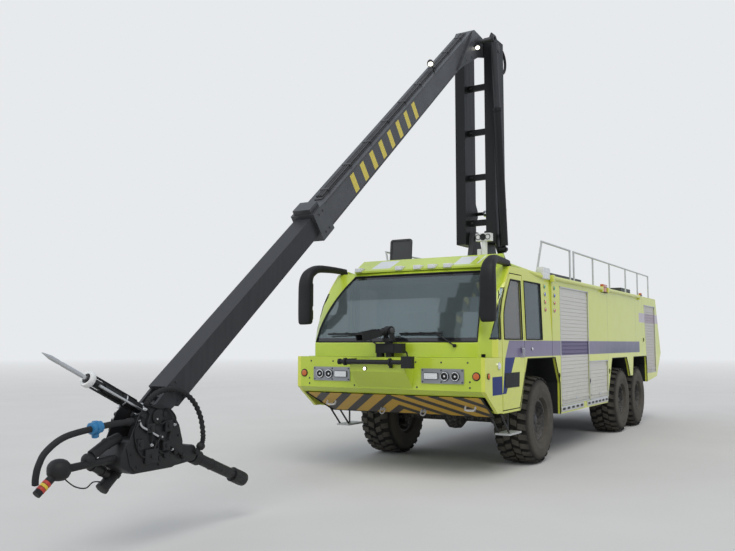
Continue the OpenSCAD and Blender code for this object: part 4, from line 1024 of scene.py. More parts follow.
at_nose = Vector((-0.2, -2.64 - SEAT_GAP, 1.545))
part("base").revolve([(0.032, 0.0), (0.032, 0.01), (0.028, 0.012)], at_nose, FRONT, 24)
part("lit").revolve([(0.026, 0.01), (0.022, 0.016), (0.0, 0.018)], at_nose, FRONT, 24)


def tail_place(x, up, out):
    """A point on the sloping tail: up along it, and out from it."""
    c, s = math.cos(TAIL_SLOPE), math.sin(TAIL_SLOPE)
    return Vector((x, TAIL_Y - up * s + out * c, TAIL_FOOT_Z + up * c + out * s))


TAIL_OUT = Vector((0.0, math.cos(TAIL_SLOPE), math.sin(TAIL_SLOPE)))
for side in SIDES:
    for i, colour in enumerate(("red", "amber", "clear")):
        at = tail_place(side * 1.3, 0.19 + i * 0.17, SEAT_GAP)
        part("base").revolve([(0.066, 0.0), (0.066, 0.006), (0.06, 0.009)], at, TAIL_OUT, 32)
        part(colour).revolve([(0.058, 0.008), (0.056, 0.014), (0.04, 0.0165), (0.0, 0.017)], at, TAIL_OUT, 32)

lamp_pieces = lamps.finish({"base": plastic, "chrome": chrome, "plate": zinc, "bolts": dark_steel,
    "case": white_paint, "clear": clear_lens, "lit": lit_lens, "red": red_lens, "amber": amber_lens,
    "green": green_lens, "blue": blue_lens})
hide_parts("lamps")


# Bumper details

@piece(dark_steel)
def bumper_bolts(shape):
    """Screws over the bumper's face."""
    for x in (-1.3, -0.9, -0.5, 0.5, 0.9, 1.3):
        shape.bolt((x, BUMPER_Y, 1.64), FRONT, 0.009, 0.007)
    for side in SIDES:
        for x, z in ((1.33, 1.3), (1.33, 1.38), (0.52, 1.29)):
            shape.bolt((side * x, BUMPER_Y, z), FRONT, 0.009, 0.007)


@piece(white_paint)
def grab_loop_covers(shape):
    """Pale hand loops over the sloping panel."""
    slope = math.atan2(1.16 - 0.862, 2.3 - 1.69)
    turn = Matrix.Rotation(-slope, 3, "X")
    base = Vector((0.0, -1.69, 0.862))
    for side in SIDES:
        keys = [(-0.075, 0.0, 0.0), (-0.075, 0.0, -0.04), (-0.055, 0.0, -0.06), (0.0, 0.0, -0.064),
            (0.055, 0.0, -0.06), (0.075, 0.0, -0.04), (0.075, 0.0, 0.0)]
        path = [base + turn @ (Vector((side * 1.17, -0.38, -0.008)) + Vector(p)) for p in keys]
        shape.tube(smooth_path(path, 4), 0.0135, 12)


@piece(black_steel)
def apron_lips(shape):
    """Dark steel lips along the sloping panel's ends and its lower edge."""
    for side in SIDES:
        shape.tube([(side * 1.372, -1.69, 0.851), (side * 1.452, -2.3, 1.149)], 0.014, 8)
    shape.tube([(-1.365, -1.688, 0.851), (1.365, -1.688, 0.851)], 0.008, 8)


for side, side_name in NAMED_SIDES:
    shape = Shape()
    x = side * HALF_W
    shape.prism([(-1.69, 1.268), (-1.118, 1.268), (-1.098, 1.482), (-1.69, 1.482)], "x", x + side * 0.0002,
        x + side * 0.004)
    for k in range(5):
        z = 1.3 + 0.036 * k
        shape.prism([(-1.67, z), (-1.13, z), (-1.13, z + 0.014), (-1.67, z + 0.014)], "x", x + side * 0.004,
            x + side * 0.009)
    make("foothold_" + side_name, shape, plastic, "door_" + side_name)


# Turret on the bumper

@piece(black_steel)
def turret_box_details(shape):
    """Screws, cover and cable of the turret's drive box."""
    for x in (-0.125, -0.02, 0.17, 0.275):
        for z in (1.79, 1.88):
            shape.bolt((x, TURRET.y - 0.055, z), FRONT, 0.007, 0.006)
    shape.prism(rounded(0.075, 1.835, 0.085, 0.05, 0.012), "y", TURRET.y - 0.061, TURRET.y - 0.054)
    shape.tube(smooth_path([(0.27, TURRET.y + 0.056, 1.8), (0.3, TURRET.y + 0.075, 1.77),
        (0.31, TURRET.y + 0.08, 1.725), (0.31, TURRET.y + 0.085, 1.709)], 5), 0.012, 10)


def turret_turn(degrees=0.0):
    """The turret's frame, panned and tilted about its pivot."""
    pan = Matrix.Rotation(TURRET_PAN, 4, "Z")
    return Matrix.Translation(TURRET) @ pan @ Matrix.Rotation(math.radians(degrees), 4, "X")


@piece(plastic, "turret_nozzle", turret_turn(102.0))
def turret_nozzle_details(shape):
    """Ribs and rings of the flat nozzle; Z runs out of its mouth."""
    for z in (0.205, 0.285, 0.365):
        half = 0.046 + (z - 0.19) * 0.012 / 0.31
        shape.box((-0.108, -half - 0.004, z), (0.108, half + 0.004, z + 0.012), 0.003)
    shape.ring((0, 0, 0.095), UP, 0.054, 0.007, 32, 8)
    shape.ring((0, 0, 0.17), UP, 0.054, 0.006, 32, 8)
    for x in (-0.075, 0.0, 0.075):
        shape.box((x - 0.004, 0.05, 0.205), (x + 0.004, 0.066, 0.492), 0.0015)


@piece(dark_steel, "turret_swivel", turret_turn())
def turret_swivel_details(shape):
    """Bolted caps on the turret's swivel."""
    for side in SIDES:
        shape.revolve([(0.04, 0.0), (0.04, 0.014), (0.032, 0.02), (0.0, 0.021)], (side * 0.093, 0, 0),
            (side, 0, 0), 28)
        for y, z in circle(6, 0.029):
            shape.bolt((side * 0.107, y, z), (side, 0, 0), 0.004, 0.008)
    for x, y in circle(8, 0.084, 0.5):
        shape.bolt((x, y, 1.9803 - TURRET.z), UP, 0.006, 0.006)


# Wipers

@piece(rubber)
def wiper_rubbers(shape):
    """Blades' rubbers and the arms' nuts."""
    for nut_x, x0, x1, proud in ((1.03, 0.13, 0.83, 0.0173), (-0.19, -1.13, -0.43, 0.0379)):
        y = SCREEN_FOOT_Y - proud - SEAT_GAP - 0.036
        shape.revolve([(0.019, 0.0), (0.019, 0.01), (0.012, 0.014)], (nut_x, y, 1.872), FRONT, 6)
        a = Vector((x0, SCREEN_FOOT_Y + 0.006, 2.052))
        b = Vector((x1, SCREEN_FOOT_Y + 0.006, 2.056))
        for k in (0.18, 0.5, 0.82):
            p = a.lerp(b, k)
            shape.box((p.x - 0.022, p.y - 0.014, p.z - 0.006), (p.x + 0.022, p.y + 0.004, p.z + 0.016), 0.003)
        shape.box((x0, a.y - 0.003, a.z - 0.018), (x1, a.y + 0.003, a.z - 0.004), 0.001)


# Cab's inside

FLOOR_Z = 1.1103
SEATS = ((0.0, -1.33, FLOOR_Z + 0.0453), (-0.72, -0.56, 1.7183), (0.72, -0.56, 1.7183))


def seat_foot(z):
    """The driver's seat stands on a higher foot."""
    return 0.26 if z < 1.5 else 0.04


def cushion(name, low, high, crown, place):
    """A crowned pad whose sides pull in between its corners, with two sewn channels."""
    shape = Shape()
    nx, ny, nz = 14, 14, 5
    grid = {}
    for i in range(nx + 1):
        for j in range(ny + 1):
            for k in range(nz + 1):
                if i in (0, nx) or j in (0, ny) or k in (0, nz):
                    u, v, w = 2 * i / nx - 1, 2 * j / ny - 1, 2 * k / nz - 1
                    edge = 1 - 0.1 * w * w
                    x = u * (1 - 0.035 * (1 - v * v)) * (edge if abs(u) > 0.99 else 1.0)
                    y = v * (1 - 0.035 * (1 - u * u)) * (edge if abs(v) > 0.99 else 1.0)
                    top = max(0.0, w) * (crown * (1 - u ** 4) * (1 - v ** 4) - 0.16
                        * math.exp(-((abs(u) - 0.45) / 0.06) ** 2))
                    corner = 0.22 * max(0.0, w) * (abs(u) ** 8 + abs(v) ** 8)
                    point = (x, y, w + top - corner)
                    grid[i, j, k] = shape.bm.verts.new([(a + b) / 2 + t * (b - a) / 2
                        for a, b, t in zip(low, high, point)])

    def quad(*keys):
        shape.bm.faces.new([grid[k] for k in keys])

    for i in range(nx):
        for j in range(ny):
            for k in (0, nz):
                quad((i, j, k), (i + 1, j, k), (i + 1, j + 1, k), (i, j + 1, k))
    for i in range(nx):
        for k in range(nz):
            for j in (0, ny):
                quad((i, j, k), (i + 1, j, k), (i + 1, j, k + 1), (i, j, k + 1))
    for j in range(ny):
        for k in range(nz):
            for i in (0, nx):
                quad((i, j, k), (i, j + 1, k), (i, j + 1, k + 1), (i, j, k + 1))
    pad = make(name, shape, seat_cloth, place=place)
    pad.modifiers.new("smooth", "SUBSURF").levels = 1
    pad.modifiers["smooth"].render_levels = 1
    return pad


@piece(plastic)
def seat_frames(shape):
    """Foot and pan of each seat."""
    for x, y, z in SEATS:
        foot = seat_foot(z)
        shape.box((x - 0.165, y - 0.155, z), (x + 0.165, y + 0.215, z + foot), 0.012)
        shape.box((x - 0.225, y - 0.205, z + foot - 0.001), (x + 0.225, y + 0.27, z + foot + 0.016), 0.006)


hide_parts("seats")
for index, (x, y, z) in enumerate(SEATS):
    foot = seat_foot(z) + 0.016
    cushion("seat_pad_%d" % index, (-0.245, -0.215, z + foot), (0.245, 0.27, z + foot + 0.085), 0.35,
        Matrix.Translation((x, y, 0.0)))
    lean, upright = (Matrix.Rotation(math.radians(degrees), 4, "X") for degrees in (-8, 90))
    cushion("seat_back_%d" % index, (-0.235, 0.0, -0.05), (0.235, 0.63, 0.045), 0.3,
        Matrix.Translation((x, y + 0.32, z + foot + 0.08)) @ lean @ upright)


@piece(plastic)
def dash_screens(shape):
    """Screens, gauges and switch rows on the dashboard's sloping face."""
    for x in (-0.9, -0.45, 0.45, 0.9):
        shape.box((x - 0.15, -1.9, 1.872), (x + 0.15, -1.866, 2.01), 0.008)
    for x in (-0.16, 0.0, 0.16):
        shape.ring((x, -1.836, 1.872), (0, 0.37, 0.93), 0.052, 0.006, 28, 8)
    for k in range(12):
        shape.box((-0.62 + k * 0.045, -1.815, 1.842), (-0.62 + k * 0.045 + 0.026, -1.796, 1.856), 0.002)


# Body side details

@piece(paint_bumper)
def roof_edge_rails(shape):
    """Round rail along each upper edge of the body, in two lengths, with its end sockets."""
    for side in SIDES:
        for y0, y1 in ((0.48, 3.56), (4.01, 6.85)):
            x = side * 1.566
            shape.tube([(x, y0, 2.994), (x, y1, 2.994)], 0.036, 18)
            for y in (y0, y1):
                shape.box((x - 0.034, y - 0.045, 2.928), (x + 0.036, y + 0.045, 3.04), 0.01)
        shape.tube([(side * 1.44, -1.15, 3.075), (side * 1.525, 0.02, 2.99)], 0.034, 18)


@piece(silver)
def shutter_frames(shape):
    """Bright surround of each shutter, with its lock bar."""
    for side in SIDES:
        for top, foot, y1, z0, z1 in SHUTTERS:
            x = side * (HALF_W + 0.001)
            corners = [Vector(p) for p in ((foot, z0), (y1, z0), (y1, z1), (top, z1))]
            for a, b in zip(corners, corners[1:] + corners[:1]):
                way = (b - a).normalized() * 0.012
                aside = Vector((-way.y, way.x))
                shape.prism([a - way + aside, b + way + aside, b + way - aside, a - way - aside], "x",
                    x - 0.004, x + 0.004, 0.002)
            mid = (foot + y1) / 2
            face = side * (HALF_W + 0.012)
            shape.box((face - 0.004, mid - 0.07, z0 + 0.062), (face + 0.006, mid + 0.07, z0 + 0.104), 0.003)


LOCKER_STEPS = ((0.86, 2.17), (2.4, 3.88))


@piece(silver)
def locker_steps(shape):
    """Punched step channels under the side lockers."""
    for side in SIDES:
        for y0, y1 in LOCKER_STEPS:
            x = side * HALF_W
            shape.box((x - side * 0.09, y0, 0.786), (x + side * 0.012, y1, 0.792), 0.0015)
            shape.box((x + side * 0.001, y0, 0.748), (x + side * 0.012, y1, 0.84), 0.003)


@piece(black_steel)
def locker_step_slots(shape):
    """Dark slots in the step channels."""
    for side in SIDES:
        for y0, y1 in LOCKER_STEPS:
            count = int((y1 - y0) / 0.24)
            for k in range(count):
                y = y0 + (k + 0.5) * (y1 - y0) / count
                x = side * (HALF_W + 0.0125)
                shape.prism(rounded(y, 0.794, 0.078, 0.02, 0.018), "x", x, x - side * 0.001)


@piece(black_steel)
def panel_latches(shape):
    """Flush latches on the side panels."""
    for side in SIDES:
        for y, z in ((0.8, 1.359), (4.085, 1.34), (7.314, 1.987), (2.638, 1.2)):
            x = side * (HALF_W + 0.001)
            shape.prism(rounded(y, z, 0.014, 0.05, 0.012), "x", x, x + side * 0.006)
            shape.prism(rounded(y, z + 0.006, 0.008, 0.03, 0.007), "x", x + side * 0.006, x + side * 0.014)


@piece(rubber)
def arch_lips(shape):
    """Rolled edges round the wheel arches."""
    for side in SIDES:
        x = side * (HALF_W - 0.004)
        shape.tube([(x, y, z) for y, z in ((3.9, 0.722), (4.33, 1.6), (5.59, 1.6), (5.76, 1.39),
            (5.88, 1.184), (6.14, 1.184), (6.23, 1.6), (7.56, 1.6), (7.61, 1.4), (7.61, 0.99))], 0.009, 8)
        shape.tube([(x, y, z) for y, z in ((-1.11, 0.922), (-0.745, 1.672), (0.6, 1.672), (0.838, 1.25),
            (0.838, 0.724))], 0.009, 8)


@piece(rubber)
def roof_strips(shape):
    """Anti-slip strips and lid hinges on the roof."""
    for side in SIDES:
        for k in range(6):
            y = 0.9 + k * 0.3
            shape.box((side * 1.19, y, 3.1153), (side * 1.4, y + 0.012, 3.119), 0.001)
        for k in range(3):
            y = 6.33 + k * 0.3
            shape.box((side * 0.91, y, 3.1853), (side * 1.31, y + 0.014, 3.189), 0.001)
        shape.box((side * 1.1 - 0.05, 7.095, 3.09), (side * 1.1 + 0.05, 7.112, 3.12), 0.004)
    for k in range(20):
        y = 2.3 + k * 0.18
        shape.box((-0.55, y, BODY_TOP_Z + 0.0002), (0.55, y + 0.05, BODY_TOP_Z + 0.003), 0.0)


@piece(black_steel)
def loudhailer_rings(shape):
    """Rims of the loudhailers on the cab's roof."""
    shape.revolve([(0.052, 0.0), (0.052, 0.004), (0.04, 0.006), (0.02, -0.01)], (0.94, -0.975, 3.5603), FRONT,
        24)
    for x in (0.86, 1.02):
        shape.ring((x, -0.9725, 3.5603), (0, 1, 0), 0.04, 0.006, 24, 8)


@piece(black_steel)
def tail_hinges(shape):
    """Hinges and screws of the tail grille."""
    for x in (-1.08, 1.08):
        for up in (0.25, 0.7, 1.15):
            p = tail_place(x, up, 0.006)
            shape.box((p.x - 0.03, p.y - 0.012, p.z - 0.04), (p.x + 0.03, p.y + 0.008, p.z + 0.04), 0.004,
                Matrix.Rotation(TAIL_SLOPE, 3, "X"), p)
    for x in (-1.04, -0.52, 0.0, 0.52, 1.04):
        for up in (0.14, 1.23):
            shape.bolt(tail_place(x, up, 0.01), TAIL_OUT, 0.009, 0.007)


# Chassis details

@piece(road_steel)
def running_gear(shape):
    """Air tanks, pipes and propeller shafts under the frame."""
    for y in (3.05, 3.45):
        for side in SIDES:
            at = Vector((side * 0.28, y, 0.98))
            shape.revolve([(0.0, -0.21), (0.07, -0.2), (0.1, -0.16), (0.1, 0.16), (0.07, 0.2), (0.0, 0.21)],
                at, (0, 1, 0), 28)
    for side in SIDES:
        for z in (0.93, 0.955, 0.98):
            shape.tube([(side * 0.424, -1.45, z), (side * 0.424, 3.9, z)], 0.007, 8)
    # Propeller shafts
    for y0, y1 in ((0.24, 5.1), (5.56, 6.63)):
        shape.tube([(0.0, y0, 0.715), (0.0, y1, 0.715)], 0.046, 18)
        for y in (y0 + 0.03, y1 - 0.03):
            shape.revolve([(0.075, -0.02), (0.075, 0.02)], (0.0, y, 0.715), (0, 1, 0), 20)


# Boom

def pin_caps(shape, x, y, z, radius, side, bolts=8):
    """A bolted cap over a pin's end."""
    shape.revolve([(radius, 0.0), (radius, 0.01), (radius * 0.9, 0.016), (0.0, 0.016)], (x, y, z),
        (side, 0, 0), 32)
    for dy, dz in circle(bolts, radius * 0.74, 0.5):
        shape.bolt((x + side * 0.014, y + dy, z + dz), (side, 0, 0), 0.008, 0.009)


@piece(dark_steel, "turntable")
def turntable_details(shape):
    """Ring of bolts, pin caps and valve blocks of the turntable."""
    for x, y in circle(28, 0.515):
        shape.bolt((x, SLEW_Y + y, BODY_TOP_Z + 0.0903), UP, 0.014, 0.016)
    for side in SIDES:
        pin_caps(shape, side * 0.415, SLEW_Y, FOOT_Z, 0.062, side, 6)
        pin_caps(shape, side * 0.1, 2.5, 3.3, 0.05, side, 5)
        # Valve block and its hoses on each side of the post
        x = side * 0.33
        shape.box((x, SLEW_Y - 0.06, 3.23), (x + side * 0.07, SLEW_Y + 0.2, 3.37), 0.008)
        for k in range(4):
            shape.revolve([(0.014, 0.0), (0.014, 0.034)], (x + side * 0.035, SLEW_Y - 0.02 + k * 0.055,
                3.366), UP, 10)


@piece(dark_steel, "lower_boom")
def lower_boom_fittings(shape):
    """Pin caps, hydraulic pipes with clamps and the knuckle's bolted plates."""
    for side in SIDES:
        pin_caps(shape, side * 0.398, KNUCKLE[0], KNUCKLE[1], 0.085, side, 10)
        for k in range(7):
            z = 4.3 + k * 0.45
            for y in (SLEW_Y - 0.235, SLEW_Y + 0.195):
                shape.bolt((side * 0.39, y, z), (side, 0, 0), 0.008, 0.007)
    for n in range(3):
        x = 0.176 - 0.03 * n
        shape.tube([(x, SLEW_Y + 0.02, 4.02), (x, SLEW_Y + 0.02, 7.3 - 0.05 * n)], 0.0105, 10)
    for k in range(7):
        z = 4.34 + k * 0.428
        shape.box((0.102, SLEW_Y + 0.004, z), (0.2005, SLEW_Y + 0.036, z + 0.03), 0.003)
    for z in (4.136 + 0.856 * k for k in range(4)):
        for side in SIDES:
            for x in (0.15, 0.178):
                shape.bolt((side * x, SLEW_Y - 0.0605, z), FRONT, 0.009, 0.008)


@piece(rubber, "lower_boom")
def knuckle_hose_cover(shape):
    """Hose loop over the knuckle's back."""
    top = KNUCKLE[1] + 0.14
    arc = [(0.32, SLEW_Y + 0.27 + 0.23 * math.cos(math.radians(a)),
        top - 0.29 + 0.23 * math.sin(math.radians(a))) for a in [70 - 140 * k / 12 for k in range(13)]]
    path = [(0.32, SLEW_Y + 0.2, top - 0.06)] + arc + [(0.32, SLEW_Y + 0.2, top - 0.54)]
    shape.tube(smooth_path(path, 3), 0.0255, 16)
    for k in (0.06, 0.54):
        shape.revolve([(0.034, -0.006), (0.034, 0.04), (0.03, 0.046)], (0.32, SLEW_Y + 0.216, top - k),
            (0, 1, 0), 6)


def boom_place():
    """The upper boom's own frame, with the knuckle at its origin, running out along -Y."""
    return Matrix.Translation((0.0, KNUCKLE[0], KNUCKLE[1])) @ Matrix.Rotation(BOOM_DROP, 4, "X")


@piece(dark_steel, "upper_boom", boom_place())
def upper_boom_fittings(shape):
    """Pin caps, corner strips and the hose tray of the outer tube."""
    half = 0.145
    for side in SIDES:
        pin_caps(shape, side * (half + 0.038), 0.0, 0.0, 0.07, side)
        for y, z in ((-0.55, 0.12), (-0.8, 0.175), (-1.05, 0.215)):
            shape.bolt((side * (half + 0.038), y, z), (side, 0, 0), 0.013, 0.01)
        # Weld-on strips along the tube's corners
        for z in (TUBE_Z - 0.155, TUBE_Z + 0.155):
            shape.box((side * (half - 0.01), -6.5, z - 0.008), (side * (half + 0.006), -1.55, z + 0.008),
                0.003)
        for y in (-6.62, -6.72):
            for z in (0.23, 0.48):
                shape.bolt((side * (half + 0.028), y, z), (side, 0, 0), 0.012, 0.01)
    # Cable tray and hoses on top
    shape.box((-0.06, -6.4, 0.52), (0.06, -0.45, 0.532), 0.003)
    for x in (-0.036, 0.0, 0.036):
        shape.tube([(x, -6.35, 0.544), (x, -0.5, 0.544)], 0.0125, 10)
    for k in range(9):
        y = -6.2 + k * 0.68
        shape.box((-0.064, y, 0.528), (0.064, y + 0.04, 0.562), 0.004)


# Two small work lamps on brackets
BOOM_LAMP_WAY = (0.35, -0.85, -0.25)
case, glow = Shape(), Shape()
for x, y, z in ((0.215, -0.502, 0.245), (0.11, -2.33, 0.7)):
    case.revolve([(0.02, -0.07), (0.045, -0.045), (0.055, 0.0), (0.055, 0.02), (0.049, 0.024)], (x, y, z),
        BOOM_LAMP_WAY, 24)
    glow.revolve([(0.047, 0.014), (0.04, 0.026), (0.0, 0.03)], (x, y, z), BOOM_LAMP_WAY, 24)
    foot = (0.15, y + 0.06, z - 0.02) if z < 0.5 else (x - 0.01, y + 0.06, 0.522)
    case.tube([(x, y + 0.045, z), (x - 0.01, y + 0.06, z - 0.02), foot], 0.01, 8)
make("boom_lamp_cases", case, black_steel, "upper_boom", boom_place())
make("boom_lamp_lenses", glow, lit_lens, "upper_boom", boom_place())


@piece(boom_grey, "tip_boom", boom_place())
def tip_boom_strips(shape):
    """Wear strips and end fittings of the sliding tube."""
    for side in SIDES:
        for z in (TIP_Z - 0.1, TIP_Z + 0.1):
            shape.box((side * 0.1195, -9.86, z - 0.012), (side * 0.1202, -6.85, z + 0.012), 0.0)
        for y in (-9.885, -9.8):
            for z in (0.29, 0.455):
                shape.bolt((side * 0.122, y, z), (side, 0, 0), 0.011, 0.009)
    # Valve block and two short cylinders between the cheeks
    shape.box((-0.076, -10.01, 0.296), (0.076, -9.9203, 0.45), 0.008)
    for x in (-0.042, 0.042):
        shape.revolve([(0.032, 0.0), (0.032, 0.05), (0.02, 0.054), (0.02, 0.085)], (x, -10.01, TIP_Z), FRONT,
            20)


# Head at the boom's end

def lance_line():
    """Foot and direction of the piercing lance, in the boom's frame."""
    foot = Vector((0.0, HEAD_PIVOT[0] - 0.06, HEAD_PIVOT[1] + 0.06))
    return foot, Vector((0.0, -0.894, 0.447)).normalized()


@piece(black_steel, "nozzle_head")
def head_housing(shape):
    """Body of the head: tub, neck, side plates, pins and valve blocks."""
    pin_y, pin_z = HEAD_PIVOT
    shape.prism([(-7.4, 0.9), (-7.3, 1.03), (-6.76, 1.03), (-6.64, 0.9), (-6.64, 0.76), (-6.76, 0.72),
        (-7.25, 0.72), (-7.4, 0.8)], "x", -0.15, 0.15, 0.014)
    shape.prism([(pin_y - 0.075, pin_z), (pin_y + 0.075, pin_z), (pin_y + 0.06, 1.0), (pin_y - 0.16, 1.0)],
        "x", -0.078, 0.078, 0.008)
    shape.revolve([(0.078, -0.08), (0.078, 0.08)], (0, pin_y, pin_z), (1, 0, 0), 36)
    shape.revolve([(0.03, -0.124), (0.03, 0.124)], (0, pin_y, pin_z), (1, 0, 0), 28)
    for side in SIDES:
        shape.prism([(-6.7, 0.93), (-6.7, 0.73), (-6.44, 0.75), (-6.39, 0.82), (-6.44, 0.89)], "x",
            side * 0.092, side * 0.13, 0.005)
        # Outer clevis plate from the tub up to the pin
        shape.prism([(-7.3, 0.8), (-7.345, 0.96), (-7.27, 1.11), (-7.195, 1.27), (-7.12, 1.325),
            (-7.01, 1.335), (-6.9, 1.315), (-6.79, 1.25), (-6.69, 1.12), (-6.64, 0.96), (-6.645, 0.79),
            (-6.76, 0.735), (-7.24, 0.735)], "x", side * 0.1495, side * 0.16, 0.004)
        for y, z in ((-7.29, 0.9), (-7.2, 1.02), (-7.12, 1.16), (-6.78, 1.16), (-6.7, 1.02), (-6.7, 0.83),
                (-7.22, 0.78), (-6.95, 0.77), (-7.08, 1.29), (-6.88, 1.28)):
            shape.bolt((side * 0.16, y, z), (side, 0, 0), 0.01, 0.009)
        # Valve blocks on the plates
        for y0, z0, y1, z1, out in ((-7.14, 0.8, -6.98, 0.93, 0.186), (-7.13, 1.08, -7.03, 1.165, 0.192),
                (-6.9, 1.07, -6.8, 1.18, 0.188), (-6.93, 0.9, -6.84, 0.985, 0.196),
                (-7.24, 0.94, -7.17, 1.03, 0.19)):
            shape.box((side * 0.16, y0, z0), (side * out, y1, z1), 0.006)
            shape.revolve([(0.02, 0.0), (0.02, 0.01), (0.015, 0.012)],
                (side * out, (y0 + y1) / 2, (z0 + z1) / 2), (side, 0, 0), 6)
        shape.revolve([(0.07, 0.0), (0.07, 0.014), (0.058, 0.02), (0.0, 0.02)], (side * 0.16, pin_y, pin_z),
            (side, 0, 0), 32)
        shape.revolve([(0.03, 0.0), (0.03, 0.016), (0.024, 0.02)], (side * 0.16, -6.87, 0.85), (side, 0, 0),
            24)
    shape.revolve([(0.03, -0.125), (0.03, 0.125)], (0, MONITOR_PIVOT[0], MONITOR_PIVOT[1]), (1, 0, 0), 28)
    # Lance carrier
    base, along = lance_line()
    shape.revolve([(0.05, 0.0), (0.052, 0.02), (0.052, 0.25)], base, along, 32)
    shape.revolve([(0.058, 0.25), (0.058, 0.3)], base, along, 32)
    shape.revolve([(0.049, 0.3), (0.052, 0.32), (0.052, 0.52)], base, along, 32)
    shape.revolve([(0.038, 0.5), (0.038, 0.72)], base, along, 28)
    for k in range(6):
        spoke = Matrix.Rotation(math.pi * k / 3, 3, along) @ along.orthogonal().normalized()
        shape.tube([base + spoke * 0.06 + along * 0.12, base + spoke * 0.06 + along * 0.68], 0.007, 8)


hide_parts("nozzle_head")


def drive_line():
    """Foot and direction of the head's drive cylinder."""
    return Vector((0.0, -6.9, 1.105)), Vector((0.0, 0.888, -0.459)).normalized()


@piece(steel, "nozzle_head")
def lance_bright(shape):
    """Piercing lance, its bright collars, drive rod and pipes."""
    base, along = lance_line()
    shape.revolve([(0.02, 0.7), (0.02, 1.0), (0.017, 1.02), (0.02, 1.05), (0.02, 1.137), (0.0035, 1.228),
        (0.0, 1.23)], base, along, 28)
    shape.revolve([(0.058, -0.01), (0.062, 0.0), (0.062, 0.022), (0.056, 0.03)], base, along, 32)
    shape.revolve([(0.054, 0.236), (0.061, 0.24), (0.061, 0.252), (0.054, 0.256)], base, along, 32)
    side = Vector((0.095, 0.0, -0.03))
    shape.tube([base + side + along * 0.02, base + side + along * 0.64], 0.012, 12)
    for side in SIDES:
        # Bent pipe down the plate, hose fittings and the collar of the drive cylinder
        path = [(side * 0.172, -7.215, 1.207), (side * 0.178, -7.19, 1.15), (side * 0.18, -7.13, 1.115),
            (side * 0.18, -6.986, 1.04)]
        shape.tube(smooth_path(path, 5), 0.011, 12)
        for y, z in ((-7.148, 1.3), (-7.007, 1.2), (-6.94, 1.03), (-6.77, 1.13), (-7.06, 0.965), (-6.8, 0.9)):
            shape.revolve([(0.016, 0.0), (0.016, 0.018), (0.01, 0.02), (0.01, 0.032)], (side * 0.16, y, z),
                (side, 0, 0), 6)
    base, along = drive_line()
    shape.revolve([(0.084, 0.3), (0.092, 0.304), (0.092, 0.318), (0.084, 0.322)], base, along, 36)


@piece(white_paint, "nozzle_head")
def lance_ring(shape):
    """Pale guide ring near the lance's tip."""
    base, along = lance_line()
    shape.revolve([(0.046, 0.668), (0.066, 0.66), (0.075, 0.672), (0.076, 0.708), (0.068, 0.722),
        (0.046, 0.716)], base, along, 40, closed=True)


@piece(plastic, "nozzle_head")
def head_clutter(shape):
    """Drive cylinder behind the neck, control hoses and the rod down to the nozzle's joint."""
    base, along = drive_line()
    shape.revolve([(0.05, -0.03), (0.084, 0.0), (0.088, 0.012), (0.088, 0.04), (0.084, 0.046), (0.084, 0.3),
        (0.09, 0.322), (0.07, 0.336), (0.0, 0.338)], base, along, 36)
    for x in (-0.06, 0.06):
        shape.tube([(x, -6.88, 1.18), (x, -6.66, 1.066)], 0.012, 10)
    hoses = (((-7.148, 1.32), (-7.09, 1.25), (-7.12, 1.15), (-7.06, 1.06), (-7.06, 0.98)),
             ((-7.007, 1.21), (-6.95, 1.15), (-6.88, 1.17), (-6.82, 1.09), (-6.84, 0.99)),
             ((-6.94, 1.04), (-6.99, 0.98), (-6.96, 0.9), (-6.87, 0.87), (-6.8, 0.91)),
             ((-7.215, 1.2), (-7.26, 1.08), (-7.2, 0.9), (-7.08, 0.86), (-7.0, 0.99)),
             ((-7.08, 1.33), (-6.98, 1.3), (-6.86, 1.29), (-6.77, 1.2), (-6.77, 1.12)))
    for side in SIDES:
        for n, line in enumerate(hoses):
            path = [(side * (0.17 + 0.005 * ((k + n) % 4)), y, z) for k, (y, z) in enumerate(line)]
            shape.tube(smooth_path(path, 5), 0.0085, 10)
        path = [(side * 0.18, -6.986, 1.04), (side * 0.182, -6.82, 0.93), (side * 0.178, -6.66, 0.828)]
        shape.tube(path, 0.01, 10)
        shape.revolve([(0.0, -0.03), (0.017, -0.026), (0.028, -0.012), (0.03, 0.0), (0.028, 0.012),
            (0.017, 0.026), (0.0, 0.03)], (side * 0.168, -6.64, 0.812), (1, 0, 0), 20)
        for y, z, r, end in ((-7.175, 1.24, 0.022, 0.192), (-6.9, 1.235, 0.026, 0.188),
                (-6.745, 0.87, 0.028, 0.186), (-7.01, 1.11, 0.024, 0.194), (-6.955, 0.83, 0.02, 0.19)):
            shape.revolve([(r, 0.0), (r, end - 0.164), (r * 0.8, end - 0.16)], (side * 0.16, y, z),
                (side, 0, 0), 18)


@piece(yellow_paint, "nozzle_head")
def drive_band(shape):
    """Yellow band round the drive cylinder."""
    base, along = drive_line()
    shape.revolve([(0.084, 0.196), (0.0875, 0.198), (0.0875, 0.222), (0.084, 0.224)], base, along, 36)


@piece(rubber, "nozzle_head")
def head_hose_ribbed(shape):
    """Ribbed hose that loops over the head to the nozzle's joint."""
    points = [(0.168, -7.14, 1.33), (0.172, -7.075, 1.405), (0.172, -6.96, 1.455), (0.172, -6.816, 1.468),
        (0.172, -6.65, 1.425), (0.172, -6.508, 1.323), (0.172, -6.41, 1.17), (0.17, -6.368, 1.0),
        (0.16, -6.365, 0.92), (0.14, -6.38, 0.86)]
    path = smooth_path(points, 7)
    radii = [0.0245 + 0.0045 * math.cos(i * math.pi) for i in range(len(path))]
    shape.tube(path, radii, 14)


